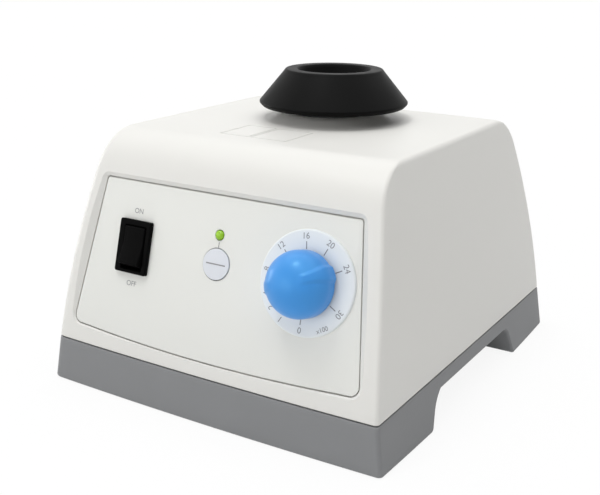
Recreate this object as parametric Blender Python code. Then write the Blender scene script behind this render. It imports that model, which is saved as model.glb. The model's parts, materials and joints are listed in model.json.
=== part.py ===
"""A bench-top vortex mixer: a cast housing on a moulded plinth, an orbiting rubber cup, a speed dial.

Axes: +X right as seen from the front, +Y to the rear, +Z up. Origin on the table, in the middle of the
box round the whole object. Lengths are in metres.
"""
import bpy
import bmesh
from math import atan, cos, hypot, pi, radians, sin, sqrt, tan
from mathutils import Matrix, Vector

MM = 0.001

# Fits: the gap left between pieces that touch, and round anything that turns or slides
GAP = 0.3 * MM
BODY_SHIFT_Y = 1.68 * MM        # the knob stands out in front, so the body stands this far back

# Plinth
BASE_WIDTH = 147 * MM           # between the bottom corners
BASE_DEPTH = 163.4 * MM
BASE_SIDE_BOW = 1.6 * MM        # the long sides swell between the corners
PLINTH_LIFT = 0.3 * MM          # the plinth's edge stands clear of the table on its feet
SEAM_Z = 18.1 * MM              # joint between plinth and housing
PLINTH_DRAFT_FRONT = 1.2 * MM   # how far the wall leans in from its bottom edge to the seam
PLINTH_DRAFT_SIDE = 2.6 * MM
SEAM_HEIGHT = 0.8 * MM          # shadow line under the housing
SEAM_DEPTH = 1.0 * MM
PLINTH_EDGE = 0.5 * MM          # rounded bottom edge
ARCH_TOP_Z = 12.4 * MM          # the arch runs through from side to side
ARCH_FRONT_Y = -36 * MM         # its ends, at the top
ARCH_REAR_Y = 33.5 * MM
ARCH_DRAFT_FRONT = 8 * MM       # each end leans out by this on the way down
ARCH_DRAFT_REAR = 4 * MM
ARCH_CORNER = 4 * MM
BAR_POCKET_WALL = 8 * MM        # walls left round the hollow under each bar
BAR_POCKET_TOP_Z = 12 * MM
BAR_POCKET_WIDTH = 88 * MM

# Housing: walls are arcs in side view, leaning in, with a round at the top edge
BOW_FRONT = 1.2 * MM            # swell of the front and rear faces in plan
BOW_SIDE = 0.1 * MM
CORNER_RADIUS = 3.5 * MM
TOP_Z = 98 * MM
FRONT_LEAN = radians(9.9)       # at the seam
FRONT_ARC = 461 * MM
FRONT_ROUND = 19.5 * MM
REAR_LEAN = radians(11.2)
REAR_ARC = 400 * MM
REAR_ROUND = 18.5 * MM
SIDE_LEAN = radians(4.6)
SIDE_ARC = 640 * MM
SIDE_ROUND = 2.2 * MM
FRONT_WALL = 6.5 * MM
SIDE_WALL = 3 * MM
TOP_WALL = 3 * MM
SCREW_BOSS_RADIUS = 4.8 * MM
SCREW_BOSS_HEIGHT = 16 * MM
PILOT_ROOF = 2 * MM             # left over the screw's pilot hole
SCREW_INSET_X = 7.4 * MM        # from the seam line at the sides
SCREW_INSET_Y = 30.5 * MM       # from the seam line at the ends
SCREW_RADIUS = 1.7 * MM
SCREW_HEAD_RADIUS = 3.4 * MM
SCREW_HEAD = 2.4 * MM
SCREW_HEAD_Z = 6 * MM

# Feet
FOOT_RADIUS = 7 * MM
FOOT_RECESS = 2 * MM
FOOT_INSET_X = 15.5 * MM        # from the plinth's edge
FOOT_INSET_Y = 15.7 * MM

# Front panel, flat in side view and swelling with the housing in plan
PANEL_BOTTOM_Z = 23.5 * MM
PANEL_LEAN = radians(15.2)
PANEL_HEIGHT = 60 * MM
PANEL_TOP_WIDTH = 109.8 * MM
PANEL_BOTTOM_WIDTH = 125.8 * MM
PANEL_SMILE = 2.2 * MM          # the bottom edge dips in the middle
PANEL_TOP_CORNER = 1.6 * MM
PANEL_BOTTOM_CORNER = 3.4 * MM
PANEL_THICKNESS = 1.2 * MM
PANEL_RECESS = 0.2 * MM         # below the housing at the bottom edge
PANEL_BOW_SPAN = 63 * MM        # half width over which the panel falls back by BOW_FRONT
POCKET_FLARE = 1.5              # run of the bevel round the panel for each unit of depth
PANEL_BACK = 4.6 * MM           # flat inner face of the front wall, behind the panel
SERVICE_MARGIN = 5 * MM

# Rocker switch, in panel places: x across, s up the panel from its bottom edge
SWITCH_X = -36.5 * MM
SWITCH_S = 35.6 * MM
BEZEL_WIDTH = 15.6 * MM
BEZEL_HEIGHT = 20 * MM
BEZEL_THICKNESS = 1.5 * MM
BEZEL_CORNER = 0.8 * MM
SWITCH_BODY_WIDTH = 12.8 * MM
SWITCH_BODY_HEIGHT = 17.8 * MM
SWITCH_BODY_DEPTH = 14 * MM
WELL_DEPTH = 10 * MM
ROCKER_WIDTH = 9.4 * MM
ROCKER_REACH = 7.4 * MM         # from the pivot to the pressed end
ROCKER_TILT = radians(12)       # each way from the middle
ROCKER_PIVOT_DEPTH = 2.5 * MM
ROCKER_BELLY = 3 * MM
ROCKER_PIN_RADIUS = 0.8 * MM

# Lamp and mode button
LAMP_X = 0.4 * MM
LAMP_S = 46 * MM
LAMP_RADIUS = 1.7 * MM
LAMP_DOME = 1.1 * MM
BUTTON_X = 0.6 * MM
BUTTON_S = 35.6 * MM
BUTTON_RADIUS = 5.6 * MM
BUTTON_PROUD = 0.45 * MM
BUTTON_STROKE = 0.5 * MM
BUTTON_STEM_RADIUS = 2.2 * MM
BUTTON_STEM = 6 * MM

# Control board behind the panel
BOARD_DEPTH = 10.4 * MM
BOARD_THICKNESS = 1.6 * MM
BOARD_WIDTH = 30 * MM
BOARD_HEIGHT = 38 * MM
BOARD_S = 36 * MM
BOARD_BOSS_RADIUS = 2.6 * MM
BOARD_SCREW_RADIUS = 1.0 * MM
BOARD_SCREW_HEAD = 1.2 * MM
BOARD_SCREW_X = 11 * MM
BOARD_SCREW_S = 15 * MM
TACT_SIZE = 6 * MM

# Speed control
DIAL_X = 37.7 * MM
DIAL_S = 35.5 * MM
DIAL_RADIUS = 18.3 * MM
DIAL_THICKNESS = 0.5 * MM
KNOB_RADIUS = 11.7 * MM
KNOB_HEIGHT = 15.5 * MM         # crown above the panel
KNOB_SKIRT = 5.5 * MM           # height where the dome starts
KNOB_LIFT = 1.6 * MM
KNOB_DRAFT = 0.3 * MM
RIDGE_REACH = 0.7 * MM          # the pointer ridge grows out of the crown and stands out by this at the rim
RIDGE_TAIL = 0.45 * MM          # and by this at the far end
RIDGE_WIDTH = 5 * MM
KNOB_POINTER = radians(62)      # clockwise from the top of the panel
SHAFT_RADIUS = 3 * MM
SHAFT_TOP = 11 * MM
BUSHING_RADIUS = 4.2 * MM
BUSHING_TOP = 2.8 * MM
NUT_ACROSS = 11 * MM
NUT_THICKNESS = 1.8 * MM
POT_RADIUS = 8.2 * MM
POT_DEPTH = 9 * MM

# Power inlet on the rear wall
INLET_Z = 40 * MM
INLET_FLANGE_WIDTH = 30 * MM
INLET_FLANGE_HEIGHT = 23 * MM
INLET_FLANGE = 2 * MM
INLET_CORNER = 2.5 * MM
INLET_BODY_WIDTH = 26.6 * MM
INLET_BODY_HEIGHT = 19.4 * MM
INLET_BODY_DEPTH = 18 * MM
SOCKET_WIDTH = 24 * MM
SOCKET_HEIGHT = 16.5 * MM
SOCKET_CHAMFER = 4 * MM
SOCKET_DEPTH = 15 * MM
PIN_WIDTH = 2 * MM
PIN_HEIGHT = 4 * MM
PIN_PITCH = 7 * MM
PIN_EARTH_RISE = 2 * MM
PIN_REACH = 8 * MM
PIN_TAIL = 6 * MM

# Drive: the motor hangs from a carriage that sinks on four shoulder bolts when the cup is pressed
CUP_Y = 11.6 * MM               # the cup's axis at rest
ORBIT_RADIUS = 2.25 * MM
PRESS_STROKE = 1.8 * MM
CARRIAGE_Z = 66 * MM
CARRIAGE_THICKNESS = 4 * MM
CARRIAGE_WIDTH = 88 * MM
CARRIAGE_DEPTH = 62 * MM
CARRIAGE_CORNER = 6 * MM
BOLT_X = 36 * MM
BOLT_OFFSET_Y = 24 * MM
BOLT_RADIUS = 3 * MM
BOLT_HEAD_RADIUS = 5.5 * MM
BOLT_HEAD = 3.5 * MM
BOLT_BOSS_RADIUS = 6.5 * MM
BOLT_BOSS_HEIGHT = 3.2 * MM
BOLT_ROOT = 3 * MM              # depth of the bolt's end in the floor
SPRING_RADIUS = 5 * MM
SPRING_WIRE = 0.7 * MM
SPRING_TURNS = 5
MOTOR_RADIUS = 24 * MM
MOTOR_LENGTH = 34 * MM
MOTOR_WALL = 2 * MM
MOTOR_CAP = 3 * MM
SHAFT_BORE_RADIUS = 4 * MM      # the motor's own shaft
ROTOR_RADIUS = 15 * MM
ROTOR_LENGTH = 22 * MM
MAGNET_INNER = 17 * MM
MAGNET_SWEEP = radians(130)
HUB_Z = 78.5 * MM
HUB_RADIUS = 11 * MM
HUB_HEIGHT = 11.5 * MM
HUB_GRIP = 8 * MM               # length of shaft inside the hub
COUNTERWEIGHT_RADIUS = 20 * MM
COUNTERWEIGHT_SWEEP = radians(110)
COUNTERWEIGHT_HEIGHT = 6 * MM
SET_SCREW_RADIUS = 1.5 * MM
BEARING_RADIUS = 11 * MM
BEARING_BORE = 4 * MM
BEARING_HEIGHT = 7 * MM
BEARING_Z = 91.4 * MM

# Cup and its holder
NECK_RADIUS = 13 * MM
FLANGE_Z = 103.4 * MM
FLANGE_RADIUS = 24 * MM
FLANGE_THICKNESS = 2 * MM
SPIGOT_RADIUS = 7 * MM
SPIGOT_HEIGHT = 1.5 * MM
CUP_RADIUS = 30.3 * MM
CUP_BOTTOM_Z = 103.2 * MM
CUP_EDGE_Z = 104.8 * MM         # height of the widest edge
CUP_EDGE = 1.4 * MM             # round of that edge
CUP_TOP_Z = 118.1 * MM
CUP_TOP_RADIUS = 20.2 * MM
CUP_LIP = 1.2 * MM              # round of the top ring
CUP_MOUTH_RADIUS = 14.4 * MM
CUP_FLOOR_RADIUS = 11 * MM
CUP_FLOOR_Z = 108.6 * MM
HEAD_HOLE_RADIUS = 16.4 * MM
COLLAR_RADIUS = 21.5 * MM
COLLAR_HEIGHT = 1 * MM

# Electrics on the floor
SUPPLY_INSET = 31.5 * MM        # from the seam line at the rear
SUPPLY_WIDTH = 60 * MM
SUPPLY_DEPTH = 20 * MM
SUPPLY_LIFT = 3.4 * MM
SUPPLY_THICKNESS = 1.6 * MM
SUPPLY_BOSS_RADIUS = 3 * MM
SUPPLY_BOSS_X = 26 * MM
TRANSFORMER_X = -19 * MM
TRANSFORMER_WIDTH = 18 * MM
TRANSFORMER_DEPTH = 14 * MM
TRANSFORMER_HEIGHT = 20 * MM
CAPACITOR_X = 21 * MM
CAPACITOR_RADIUS = 5 * MM
CAPACITOR_HEIGHT = 18 * MM
SENSOR_X = 20 * MM
SENSOR_WIDTH = 13 * MM
SENSOR_DEPTH = 10 * MM
SENSOR_HEIGHT = 9.5 * MM
SENSOR_SLOT = 3.4 * MM
SENSOR_SLOT_FLOOR = 2 * MM
SENSOR_POST = 7 * MM
FLAG_WIDTH = 9 * MM
FLAG_THICKNESS = 1.2 * MM
FLAG_DROP = 11.5 * MM
FLAG_INSET = 3 * MM             # from the carriage's front edge

# Facets
ROUND_STEPS = 24
FINE_STEPS = 36
SMALL_STEPS = 12
SIDE_STEPS = 6
CORNER_STEPS = 3

# Worked out from the sizes above
SEAM_HALF_WIDTH = BASE_WIDTH / 2 - PLINTH_DRAFT_SIDE
SEAM_FRONT_Y = -BASE_DEPTH / 2 + PLINTH_DRAFT_FRONT
SEAM_REAR_Y = BASE_DEPTH / 2 - PLINTH_DRAFT_FRONT
FLOOR_Z = SEAM_Z - GAP
SCREW_X = SEAM_HALF_WIDTH - SCREW_INSET_X
SCREW_Y = SEAM_REAR_Y - SCREW_INSET_Y
FOOT_X = BASE_WIDTH / 2 - FOOT_INSET_X
FOOT_Y = BASE_DEPTH / 2 - FOOT_INSET_Y
SUPPLY_Y = SEAM_REAR_Y - SUPPLY_INSET
MOTOR_Y = CUP_Y - ORBIT_RADIUS
MOTOR_TOP_Z = CARRIAGE_Z - GAP
MOTOR_BOTTOM_Z = MOTOR_TOP_Z - MOTOR_LENGTH
CARRIAGE_FRONT_Y = MOTOR_Y - CARRIAGE_DEPTH / 2
FLAG_Y = CARRIAGE_FRONT_Y + FLAG_INSET
POCKET_FLOOR = PANEL_THICKNESS + GAP
DIAL_TOP = GAP + DIAL_THICKNESS
SIDEWAYS = Matrix(((0, 0, 1, 0), (1, 0, 0, 0), (0, 1, 0, 0), (0, 0, 0, 1)))     # lays a prism along X
CORNERS = [(-1, -1), (1, -1), (-1, 1), (1, 1)]
CORNER_NAMES = ["front_left", "front_right", "rear_left", "rear_right"]


def clear_scene():
    for old in list(bpy.data.objects):
        bpy.data.objects.remove(old, do_unlink=True)


def material(name, colour, roughness, metallic=0.0):
    made = bpy.data.materials.get(name)
    if made:
        return made
    made = bpy.data.materials.new(name)
    made.use_nodes = True
    shader = made.node_tree.nodes["Principled BSDF"]
    shader.inputs["Base Color"].default_value = (*colour, 1.0)
    shader.inputs["Roughness"].default_value = roughness
    shader.inputs["Metallic"].default_value = metallic
    return made


# Finishes
def white_paint():
    return material("white_paint", (0.76, 0.76, 0.73), 0.45)


def grey_plastic():
    return material("grey_plastic", (0.23, 0.235, 0.24), 0.55)


def black_rubber():
    return material("black_rubber", (0.012, 0.012, 0.013), 0.6)


def black_plastic():
    return material("black_plastic", (0.015, 0.015, 0.016), 0.35)


def lilac_plastic():
    return material("lilac_plastic", (0.72, 0.75, 0.83), 0.4)


def blue_plastic():
    return material("blue_plastic", (0.07, 0.29, 0.7), 0.35)


def green_lens():
    return material("green_lens", (0.25, 0.6, 0.03), 0.2)


def steel():
    return material("steel", (0.55, 0.55, 0.56), 0.3, 1.0)


def aluminium():
    return material("aluminium", (0.7, 0.7, 0.71), 0.4, 1.0)


def copper():
    return material("copper_winding", (0.6, 0.25, 0.1), 0.4, 1.0)


def magnet_grey():
    return material("magnet_grey", (0.08, 0.08, 0.085), 0.5, 0.6)


def board_green():
    return material("board_green", (0.02, 0.16, 0.06), 0.5)


# Mesh helpers
ROOT = None


def place(name, bm, finish=None, frame=None, smooth_angle=35):
    """Make an object from a bmesh, in a local frame of the body."""
    bmesh.ops.recalc_face_normals(bm, faces=bm.faces)
    mesh = bpy.data.meshes.new(name)
    bm.to_mesh(mesh)
    bm.free()
    mesh.shade_smooth()
    mesh.set_sharp_from_angle(angle=radians(smooth_angle))
    made = bpy.data.objects.new(name, mesh)
    bpy.context.collection.objects.link(made)
    made.parent = ROOT
    made.matrix_basis = frame or Matrix.Identity(4)
    if finish:
        mesh.materials.append(finish)
    return made


def as_cutter(made):
    made.hide_render = True
    made.display_type = 'WIRE'
    return made


def boolean(target, tool, operation='DIFFERENCE'):
    step = target.modifiers.new(tool.name, 'BOOLEAN')
    step.operation = operation
    step.solver = 'EXACT'
    step.object = as_cutter(tool)


def loft(rings):
    """Skin a row of closed rings that have the same number of points, and cap both ends."""
    bm = bmesh.new()
    rows = [[bm.verts.new(point) for point in ring] for ring in rings]
    count = len(rings[0])
    for low, high in zip(rows, rows[1:]):
        for i in range(count):
            j = (i + 1) % count
            bm.faces.new((low[i], low[j], high[j], high[i]))
    bm.faces.new(list(reversed(rows[0])))
    bm.faces.new(rows[-1])
    return bm


def prism(outline, bottom, top):
    return loft([[(x, y, z) for x, y in outline] for z in (bottom, top)])


def merge(parts):
    """Put several separate bmeshes into one."""
    whole = bmesh.new()
    for part in parts:
        mesh = bpy.data.meshes.new("part")
        part.to_mesh(mesh)
        part.free()
        whole.from_mesh(mesh)
        bpy.data.meshes.remove(mesh)
    return whole


def shift(bm, x=0.0, y=0.0, z=0.0):
    bmesh.ops.translate(bm, verts=bm.verts, vec=(x, y, z))
    return bm


def turned(profile, steps=ROUND_STEPS, ring=False):
    """Turn a profile of (radius, height) points round Z; a ring profile closes on itself off the axis."""
    bm = bmesh.new()
    rows = []
    for radius, height in profile:
        if radius < 1e-7:
            rows.append([bm.verts.new((0, 0, height))])
            continue
        angles = [2 * pi * (i + 0.5) / steps for i in range(steps)]
        rows.append([bm.verts.new((radius * cos(t), radius * sin(t), height)) for t in angles])
    pairs = list(zip(rows, rows[1:]))
    if ring:
        pairs.append((rows[-1], rows[0]))
    for low, high in pairs:
        for i in range(steps):
            j = (i + 1) % steps
            corner = [low[i % len(low)], low[j % len(low)], high[j % len(high)], high[i % len(high)]]
            face = list(dict.fromkeys(corner))
            if len(face) > 2:
                bm.faces.new(face)
    return bm


def cylinder(radius, bottom, top, steps=ROUND_STEPS):
    return turned([(0, bottom), (radius, bottom), (radius, top), (0, top)], steps)


def tube(inner, outer, bottom, top, steps=ROUND_STEPS):
    return turned([(inner, bottom), (outer, bottom), (outer, top), (inner, top)], steps, ring=True)


def box(width, depth, bottom, top):
    return prism(rectangle(width, depth), bottom, top)


def rectangle(width, height):
    x, y = width / 2, height / 2
    return [(-x, -y), (x, -y), (x, y), (-x, y)]


def rounded(corners, steps=CORNER_STEPS):
    """Round the corners of a counter-clockwise outline given as (x, y, radius)."""
    outline = []
    for i, (x, y, radius) in enumerate(corners):
        here = Vector((x, y))
        if radius <= 0:
            outline.append((x, y))
            continue
        before = (Vector(corners[i - 1][:2]) - here).normalized()
        after = (Vector(corners[(i + 1) % len(corners)][:2]) - here).normalized()
        half = before.angle(after) / 2
        centre = here + (before + after).normalized() * (radius / sin(half))
        start = here + before * (radius / tan(half)) - centre
        turn = start.angle_signed(here + after * (radius / tan(half)) - centre)
        for k in range(steps + 1):
            outline.append(tuple(centre + Matrix.Rotation(-turn * k / steps, 2) @ start))
    return outline


def rounded_rectangle(width, height, radius):
    return rounded([(x, y, radius) for x, y in rectangle(width, height)])


def pegs(places, radius, bottom, top):
    """One round peg at each (x, y), as bosses to add or holes to cut."""
    return merge([shift(cylinder(radius, bottom, top, SMALL_STEPS), x, y) for x, y in places])


# The body's skin
def wall_inset(z, lean, arc, top_round, top_z):
    """How far a wall has come in from the seam at height z: an arc, then a round tangent to the top."""
    arc_out = -arc * cos(lean)
    arc_z = SEAM_Z - arc * sin(lean)
    round_z = top_z - top_round
    round_out = arc_out + sqrt((arc - top_round) ** 2 - (round_z - arc_z) ** 2)
    meet_z = arc_z + arc * (round_z - arc_z) / (arc - top_round)
    if z <= meet_z:
        return -(arc_out + sqrt(arc ** 2 - (z - arc_z) ** 2))
    return -(round_out + sqrt(max(top_round ** 2 - (z - round_z) ** 2, 0.0)))


def body_ring(z, half_width, front_y, rear_y, front_bow, side_bow, corner):
    """A closed outline at one height: four swelling sides and four round corners."""
    inner_x = half_width - corner
    middle_y = (front_y + rear_y) / 2
    inner_y = (rear_y - front_y) / 2 - corner
    steps = [2 * i / SIDE_STEPS - 1 for i in range(SIDE_STEPS + 1)]
    sides = [
        [(u * inner_x, front_y - front_bow * (1 - u * u)) for u in steps],
        [(half_width + side_bow * (1 - u * u), middle_y + u * inner_y) for u in steps],
        [(-u * inner_x, rear_y + front_bow * (1 - u * u)) for u in steps],
        [(-half_width - side_bow * (1 - u * u), middle_y - u * inner_y) for u in steps],
    ]
    turns = [(inner_x, middle_y - inner_y), (inner_x, middle_y + inner_y),
             (-inner_x, middle_y + inner_y), (-inner_x, middle_y - inner_y)]
    ring = []
    for quarter, (side, (x, y)) in enumerate(zip(sides, turns)):
        ring += side
        for k in range(1, CORNER_STEPS):
            angle = (quarter - 1 + k / CORNER_STEPS) * pi / 2
            ring.append((x + corner * cos(angle), y + corner * sin(angle)))
    return [(x, y, z) for x, y in ring]


def housing_ring(z, wall=0.0, front_wall=0.0, top_wall=0.0):
    """The housing's outline at height z, or its hollow's where walls are given."""
    top_z = TOP_Z - top_wall
    side = wall + wall_inset(z, SIDE_LEAN, SIDE_ARC, SIDE_ROUND, top_z)
    front = front_wall + wall_inset(z, FRONT_LEAN, FRONT_ARC, FRONT_ROUND - top_wall, top_z)
    rear = wall + wall_inset(z, REAR_LEAN, REAR_ARC, REAR_ROUND - top_wall, top_z)
    return body_ring(z, SEAM_HALF_WIDTH - side, SEAM_FRONT_Y + front, SEAM_REAR_Y - rear,
                     BOW_FRONT, BOW_SIDE, CORNER_RADIUS)


def wall_heights(bottom, top_z, top_round, wall_steps, round_steps):
    """Heights for the loft: even up the wall, then by equal angles round the top edges."""
    start = top_z - top_round
    heights = [bottom + (start - bottom) * i / wall_steps for i in range(wall_steps + 1)]
    heights += [start + top_round * sin(pi / 2 * i / round_steps) for i in range(1, round_steps + 1)]
    heights += [top_z - SIDE_ROUND * (1 - sin(pi / 2 * i / 4)) for i in range(4)]
    heights.sort()
    kept = heights[:1]
    for z in heights[1:]:
        if z - kept[-1] > 0.05 * MM:
            kept.append(z)
    kept[-1] = top_z
    return kept


def front_surface_y(z):
    """The front face on the middle plane."""
    return SEAM_FRONT_Y + wall_inset(z, FRONT_LEAN, FRONT_ARC, FRONT_ROUND, TOP_Z) - BOW_FRONT


def plinth_ring(z, inset=0.0):
    rise = (z - PLINTH_LIFT) / (SEAM_Z - PLINTH_LIFT)
    return body_ring(z, BASE_WIDTH / 2 - PLINTH_DRAFT_SIDE * rise - inset,
                     -BASE_DEPTH / 2 + PLINTH_DRAFT_FRONT * rise + inset,
                     BASE_DEPTH / 2 - PLINTH_DRAFT_FRONT * rise - inset,
                     BOW_FRONT, BASE_SIDE_BOW + (BOW_SIDE - BASE_SIDE_BOW) * rise, CORNER_RADIUS)


# Local frames on the front panel and on the rear wall: x across, y up the slope, z outwards
def panel_drop(x):
    return BOW_FRONT * (x / PANEL_BOW_SPAN) ** 2


def panel_base():
    y = front_surface_y(PANEL_BOTTOM_Z) + PANEL_RECESS
    return Matrix.Translation((0, y, PANEL_BOTTOM_Z)) @ Matrix.Rotation(pi / 2 - PANEL_LEAN, 4, 'X')


def panel_frame(x, s):
    """A frame on the panel's face at (x, s), square to the face there."""
    tilt = atan(2 * BOW_FRONT * x / PANEL_BOW_SPAN ** 2)
    return panel_base() @ Matrix.Translation((x, s, -panel_drop(x))) @ Matrix.Rotation(tilt, 4, 'Y')


def rear_frame(z):
    inset = wall_inset(z, REAR_LEAN, REAR_ARC, REAR_ROUND, TOP_Z)
    lean = REAR_LEAN + (z - SEAM_Z) / REAR_ARC
    place_there = Matrix.Translation((0, SEAM_REAR_Y - inset + BOW_FRONT, z))
    return place_there @ Matrix.Rotation(pi, 4, 'Z') @ Matrix.Rotation(pi / 2 - lean, 4, 'X')


def drive_frame(z=0.0):
    return Matrix.Translation((0, MOTOR_Y, z))


def cup_frame(z=0.0):
    return Matrix.Translation((0, CUP_Y, z))


# Front panel outline
def panel_outline(grow=0.0):
    """The panel's outline in its own plane, grown outwards by an amount."""
    slant = atan((PANEL_BOTTOM_WIDTH - PANEL_TOP_WIDTH) / 2 / PANEL_HEIGHT)
    widen = grow / cos(slant)
    top = PANEL_HEIGHT + grow
    half_top = PANEL_TOP_WIDTH / 2 + widen - grow * tan(slant)
    half_low = PANEL_BOTTOM_WIDTH / 2 + widen
    low_corner = PANEL_BOTTOM_CORNER + grow
    steps = 10
    reach = half_low - low_corner
    corners = [(-half_low, PANEL_SMILE - grow, low_corner)]
    for i in range(1, steps):
        u = 2 * i / steps - 1
        corners.append((u * reach, PANEL_SMILE * u * u - grow, 0))
    corners.append((half_low, PANEL_SMILE - grow, low_corner))
    corners.append((half_top, top, PANEL_TOP_CORNER + grow))
    corners += [(half_top * (1 - 2 * i / steps), top, 0) for i in range(1, steps)]
    corners.append((-half_top, top, PANEL_TOP_CORNER + grow))
    return rounded(corners)


def bowed_slab(bottom, top):
    """A sheet that swells like the panel, larger than it all round."""
    half = PANEL_BOTTOM_WIDTH / 2 + 4 * SERVICE_MARGIN
    steps = 4 * SIDE_STEPS
    low, high = -4 * SERVICE_MARGIN, PANEL_HEIGHT + 4 * SERVICE_MARGIN
    rings = []
    for i in range(steps + 1):
        x = half * (2 * i / steps - 1)
        drop = panel_drop(x)
        rings.append([(x, low, bottom - drop), (x, high, bottom - drop),
                      (x, high, top - drop), (x, low, top - drop)])
    return loft(rings)


def panel_pocket():
    """The recess in the housing: straight beside the panel's edge, then flaring out to the surface."""
    flare = 4 * MM
    rings = []
    for height, grow in ((-3 * POCKET_FLOOR, GAP), (0.0, GAP), (flare, GAP + flare * POCKET_FLARE)):
        rings.append([(x, s, height - panel_drop(x)) for x, s in panel_outline(grow)])
    pocket = place("cut_panel_pocket", loft(rings), frame=panel_base())
    above_floor = place("cut_pocket_floor", bowed_slab(-POCKET_FLOOR, 3 * flare), frame=panel_base())
    boolean(pocket, above_floor, 'INTERSECT')
    return pocket


# Static body
def upper_housing():
    heights = wall_heights(SEAM_Z, TOP_Z, FRONT_ROUND, 6, 7)
    housing = place("upper_housing", loft([housing_ring(z) for z in heights]), white_paint())

    low = SEAM_Z - 2 * SEAM_HEIGHT
    hollow_heights = wall_heights(low, TOP_Z - TOP_WALL, FRONT_ROUND - TOP_WALL, 3, 3)
    hollow = [housing_ring(z, SIDE_WALL, FRONT_WALL, TOP_WALL) for z in hollow_heights]
    boolean(housing, place("cut_hollow", loft(hollow)))

    service = prism(panel_outline(-SERVICE_MARGIN), -3 * PANEL_BACK, -PANEL_BACK)
    boolean(housing, place("cut_service", service, frame=panel_base()))

    boss_top = SEAM_Z + SCREW_BOSS_HEIGHT
    bosses = pegs(screw_places(), SCREW_BOSS_RADIUS, SEAM_Z, boss_top)
    boolean(housing, place("add_screw_bosses", bosses), 'UNION')
    board_bosses = pegs(board_screw_places(), BOARD_BOSS_RADIUS, -BOARD_DEPTH + GAP, -PANEL_BACK + MM)
    boolean(housing, place("add_board_bosses", board_bosses, frame=panel_base()), 'UNION')

    boolean(housing, panel_pocket())
    cut_panel_openings(housing)

    pilots = pegs(screw_places(), SCREW_RADIUS + GAP, SEAM_Z - SEAM_HEIGHT, boss_top - PILOT_ROOF)
    boolean(housing, place("cut_screw_pilots", pilots))
    board_pilots = pegs(board_screw_places(), BOARD_SCREW_RADIUS + GAP, -2 * BOARD_DEPTH, -PANEL_BACK - MM)
    boolean(housing, place("cut_board_pilots", board_pilots, frame=panel_base()))

    head = cylinder(HEAD_HOLE_RADIUS, TOP_Z - 3 * TOP_WALL, TOP_Z + TOP_WALL, FINE_STEPS)
    boolean(housing, place("cut_head_hole", head, frame=drive_frame()))
    opening = rectangle(INLET_BODY_WIDTH + 2 * GAP, INLET_BODY_HEIGHT + 2 * GAP)
    inlet = prism(opening, -INLET_BODY_DEPTH, INLET_FLANGE)
    boolean(housing, place("cut_inlet", inlet, frame=rear_frame(INLET_Z)))
    return housing


def cut_panel_openings(target):
    """Openings for the controls, through the panel or the wall behind it."""
    reach = 3 * PANEL_BACK
    switch = prism(rectangle(SWITCH_BODY_WIDTH + 2 * GAP, SWITCH_BODY_HEIGHT + 2 * GAP), -reach, reach)
    boolean(target, place("cut_switch_" + target.name, switch, frame=panel_frame(SWITCH_X, SWITCH_S)))
    lamp = cylinder(LAMP_RADIUS + GAP, -reach, reach, SMALL_STEPS)
    boolean(target, place("cut_lamp_" + target.name, lamp, frame=panel_frame(LAMP_X, LAMP_S)))
    seat = -PANEL_THICKNESS - BUTTON_STROKE - 2 * GAP
    button = turned([(0, -reach), (BUTTON_STEM_RADIUS + GAP, -reach), (BUTTON_STEM_RADIUS + GAP, seat),
                     (BUTTON_RADIUS + GAP, seat), (BUTTON_RADIUS + GAP, reach), (0, reach)])
    boolean(target, place("cut_button_" + target.name, button, frame=panel_frame(BUTTON_X, BUTTON_S)))
    bushing = cylinder(BUSHING_RADIUS + GAP, -reach, reach, SMALL_STEPS)
    boolean(target, place("cut_bushing_" + target.name, bushing, frame=panel_frame(DIAL_X, DIAL_S)))


def screw_places():
    return [(u * SCREW_X, v * SCREW_Y) for u, v in CORNERS]


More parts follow.
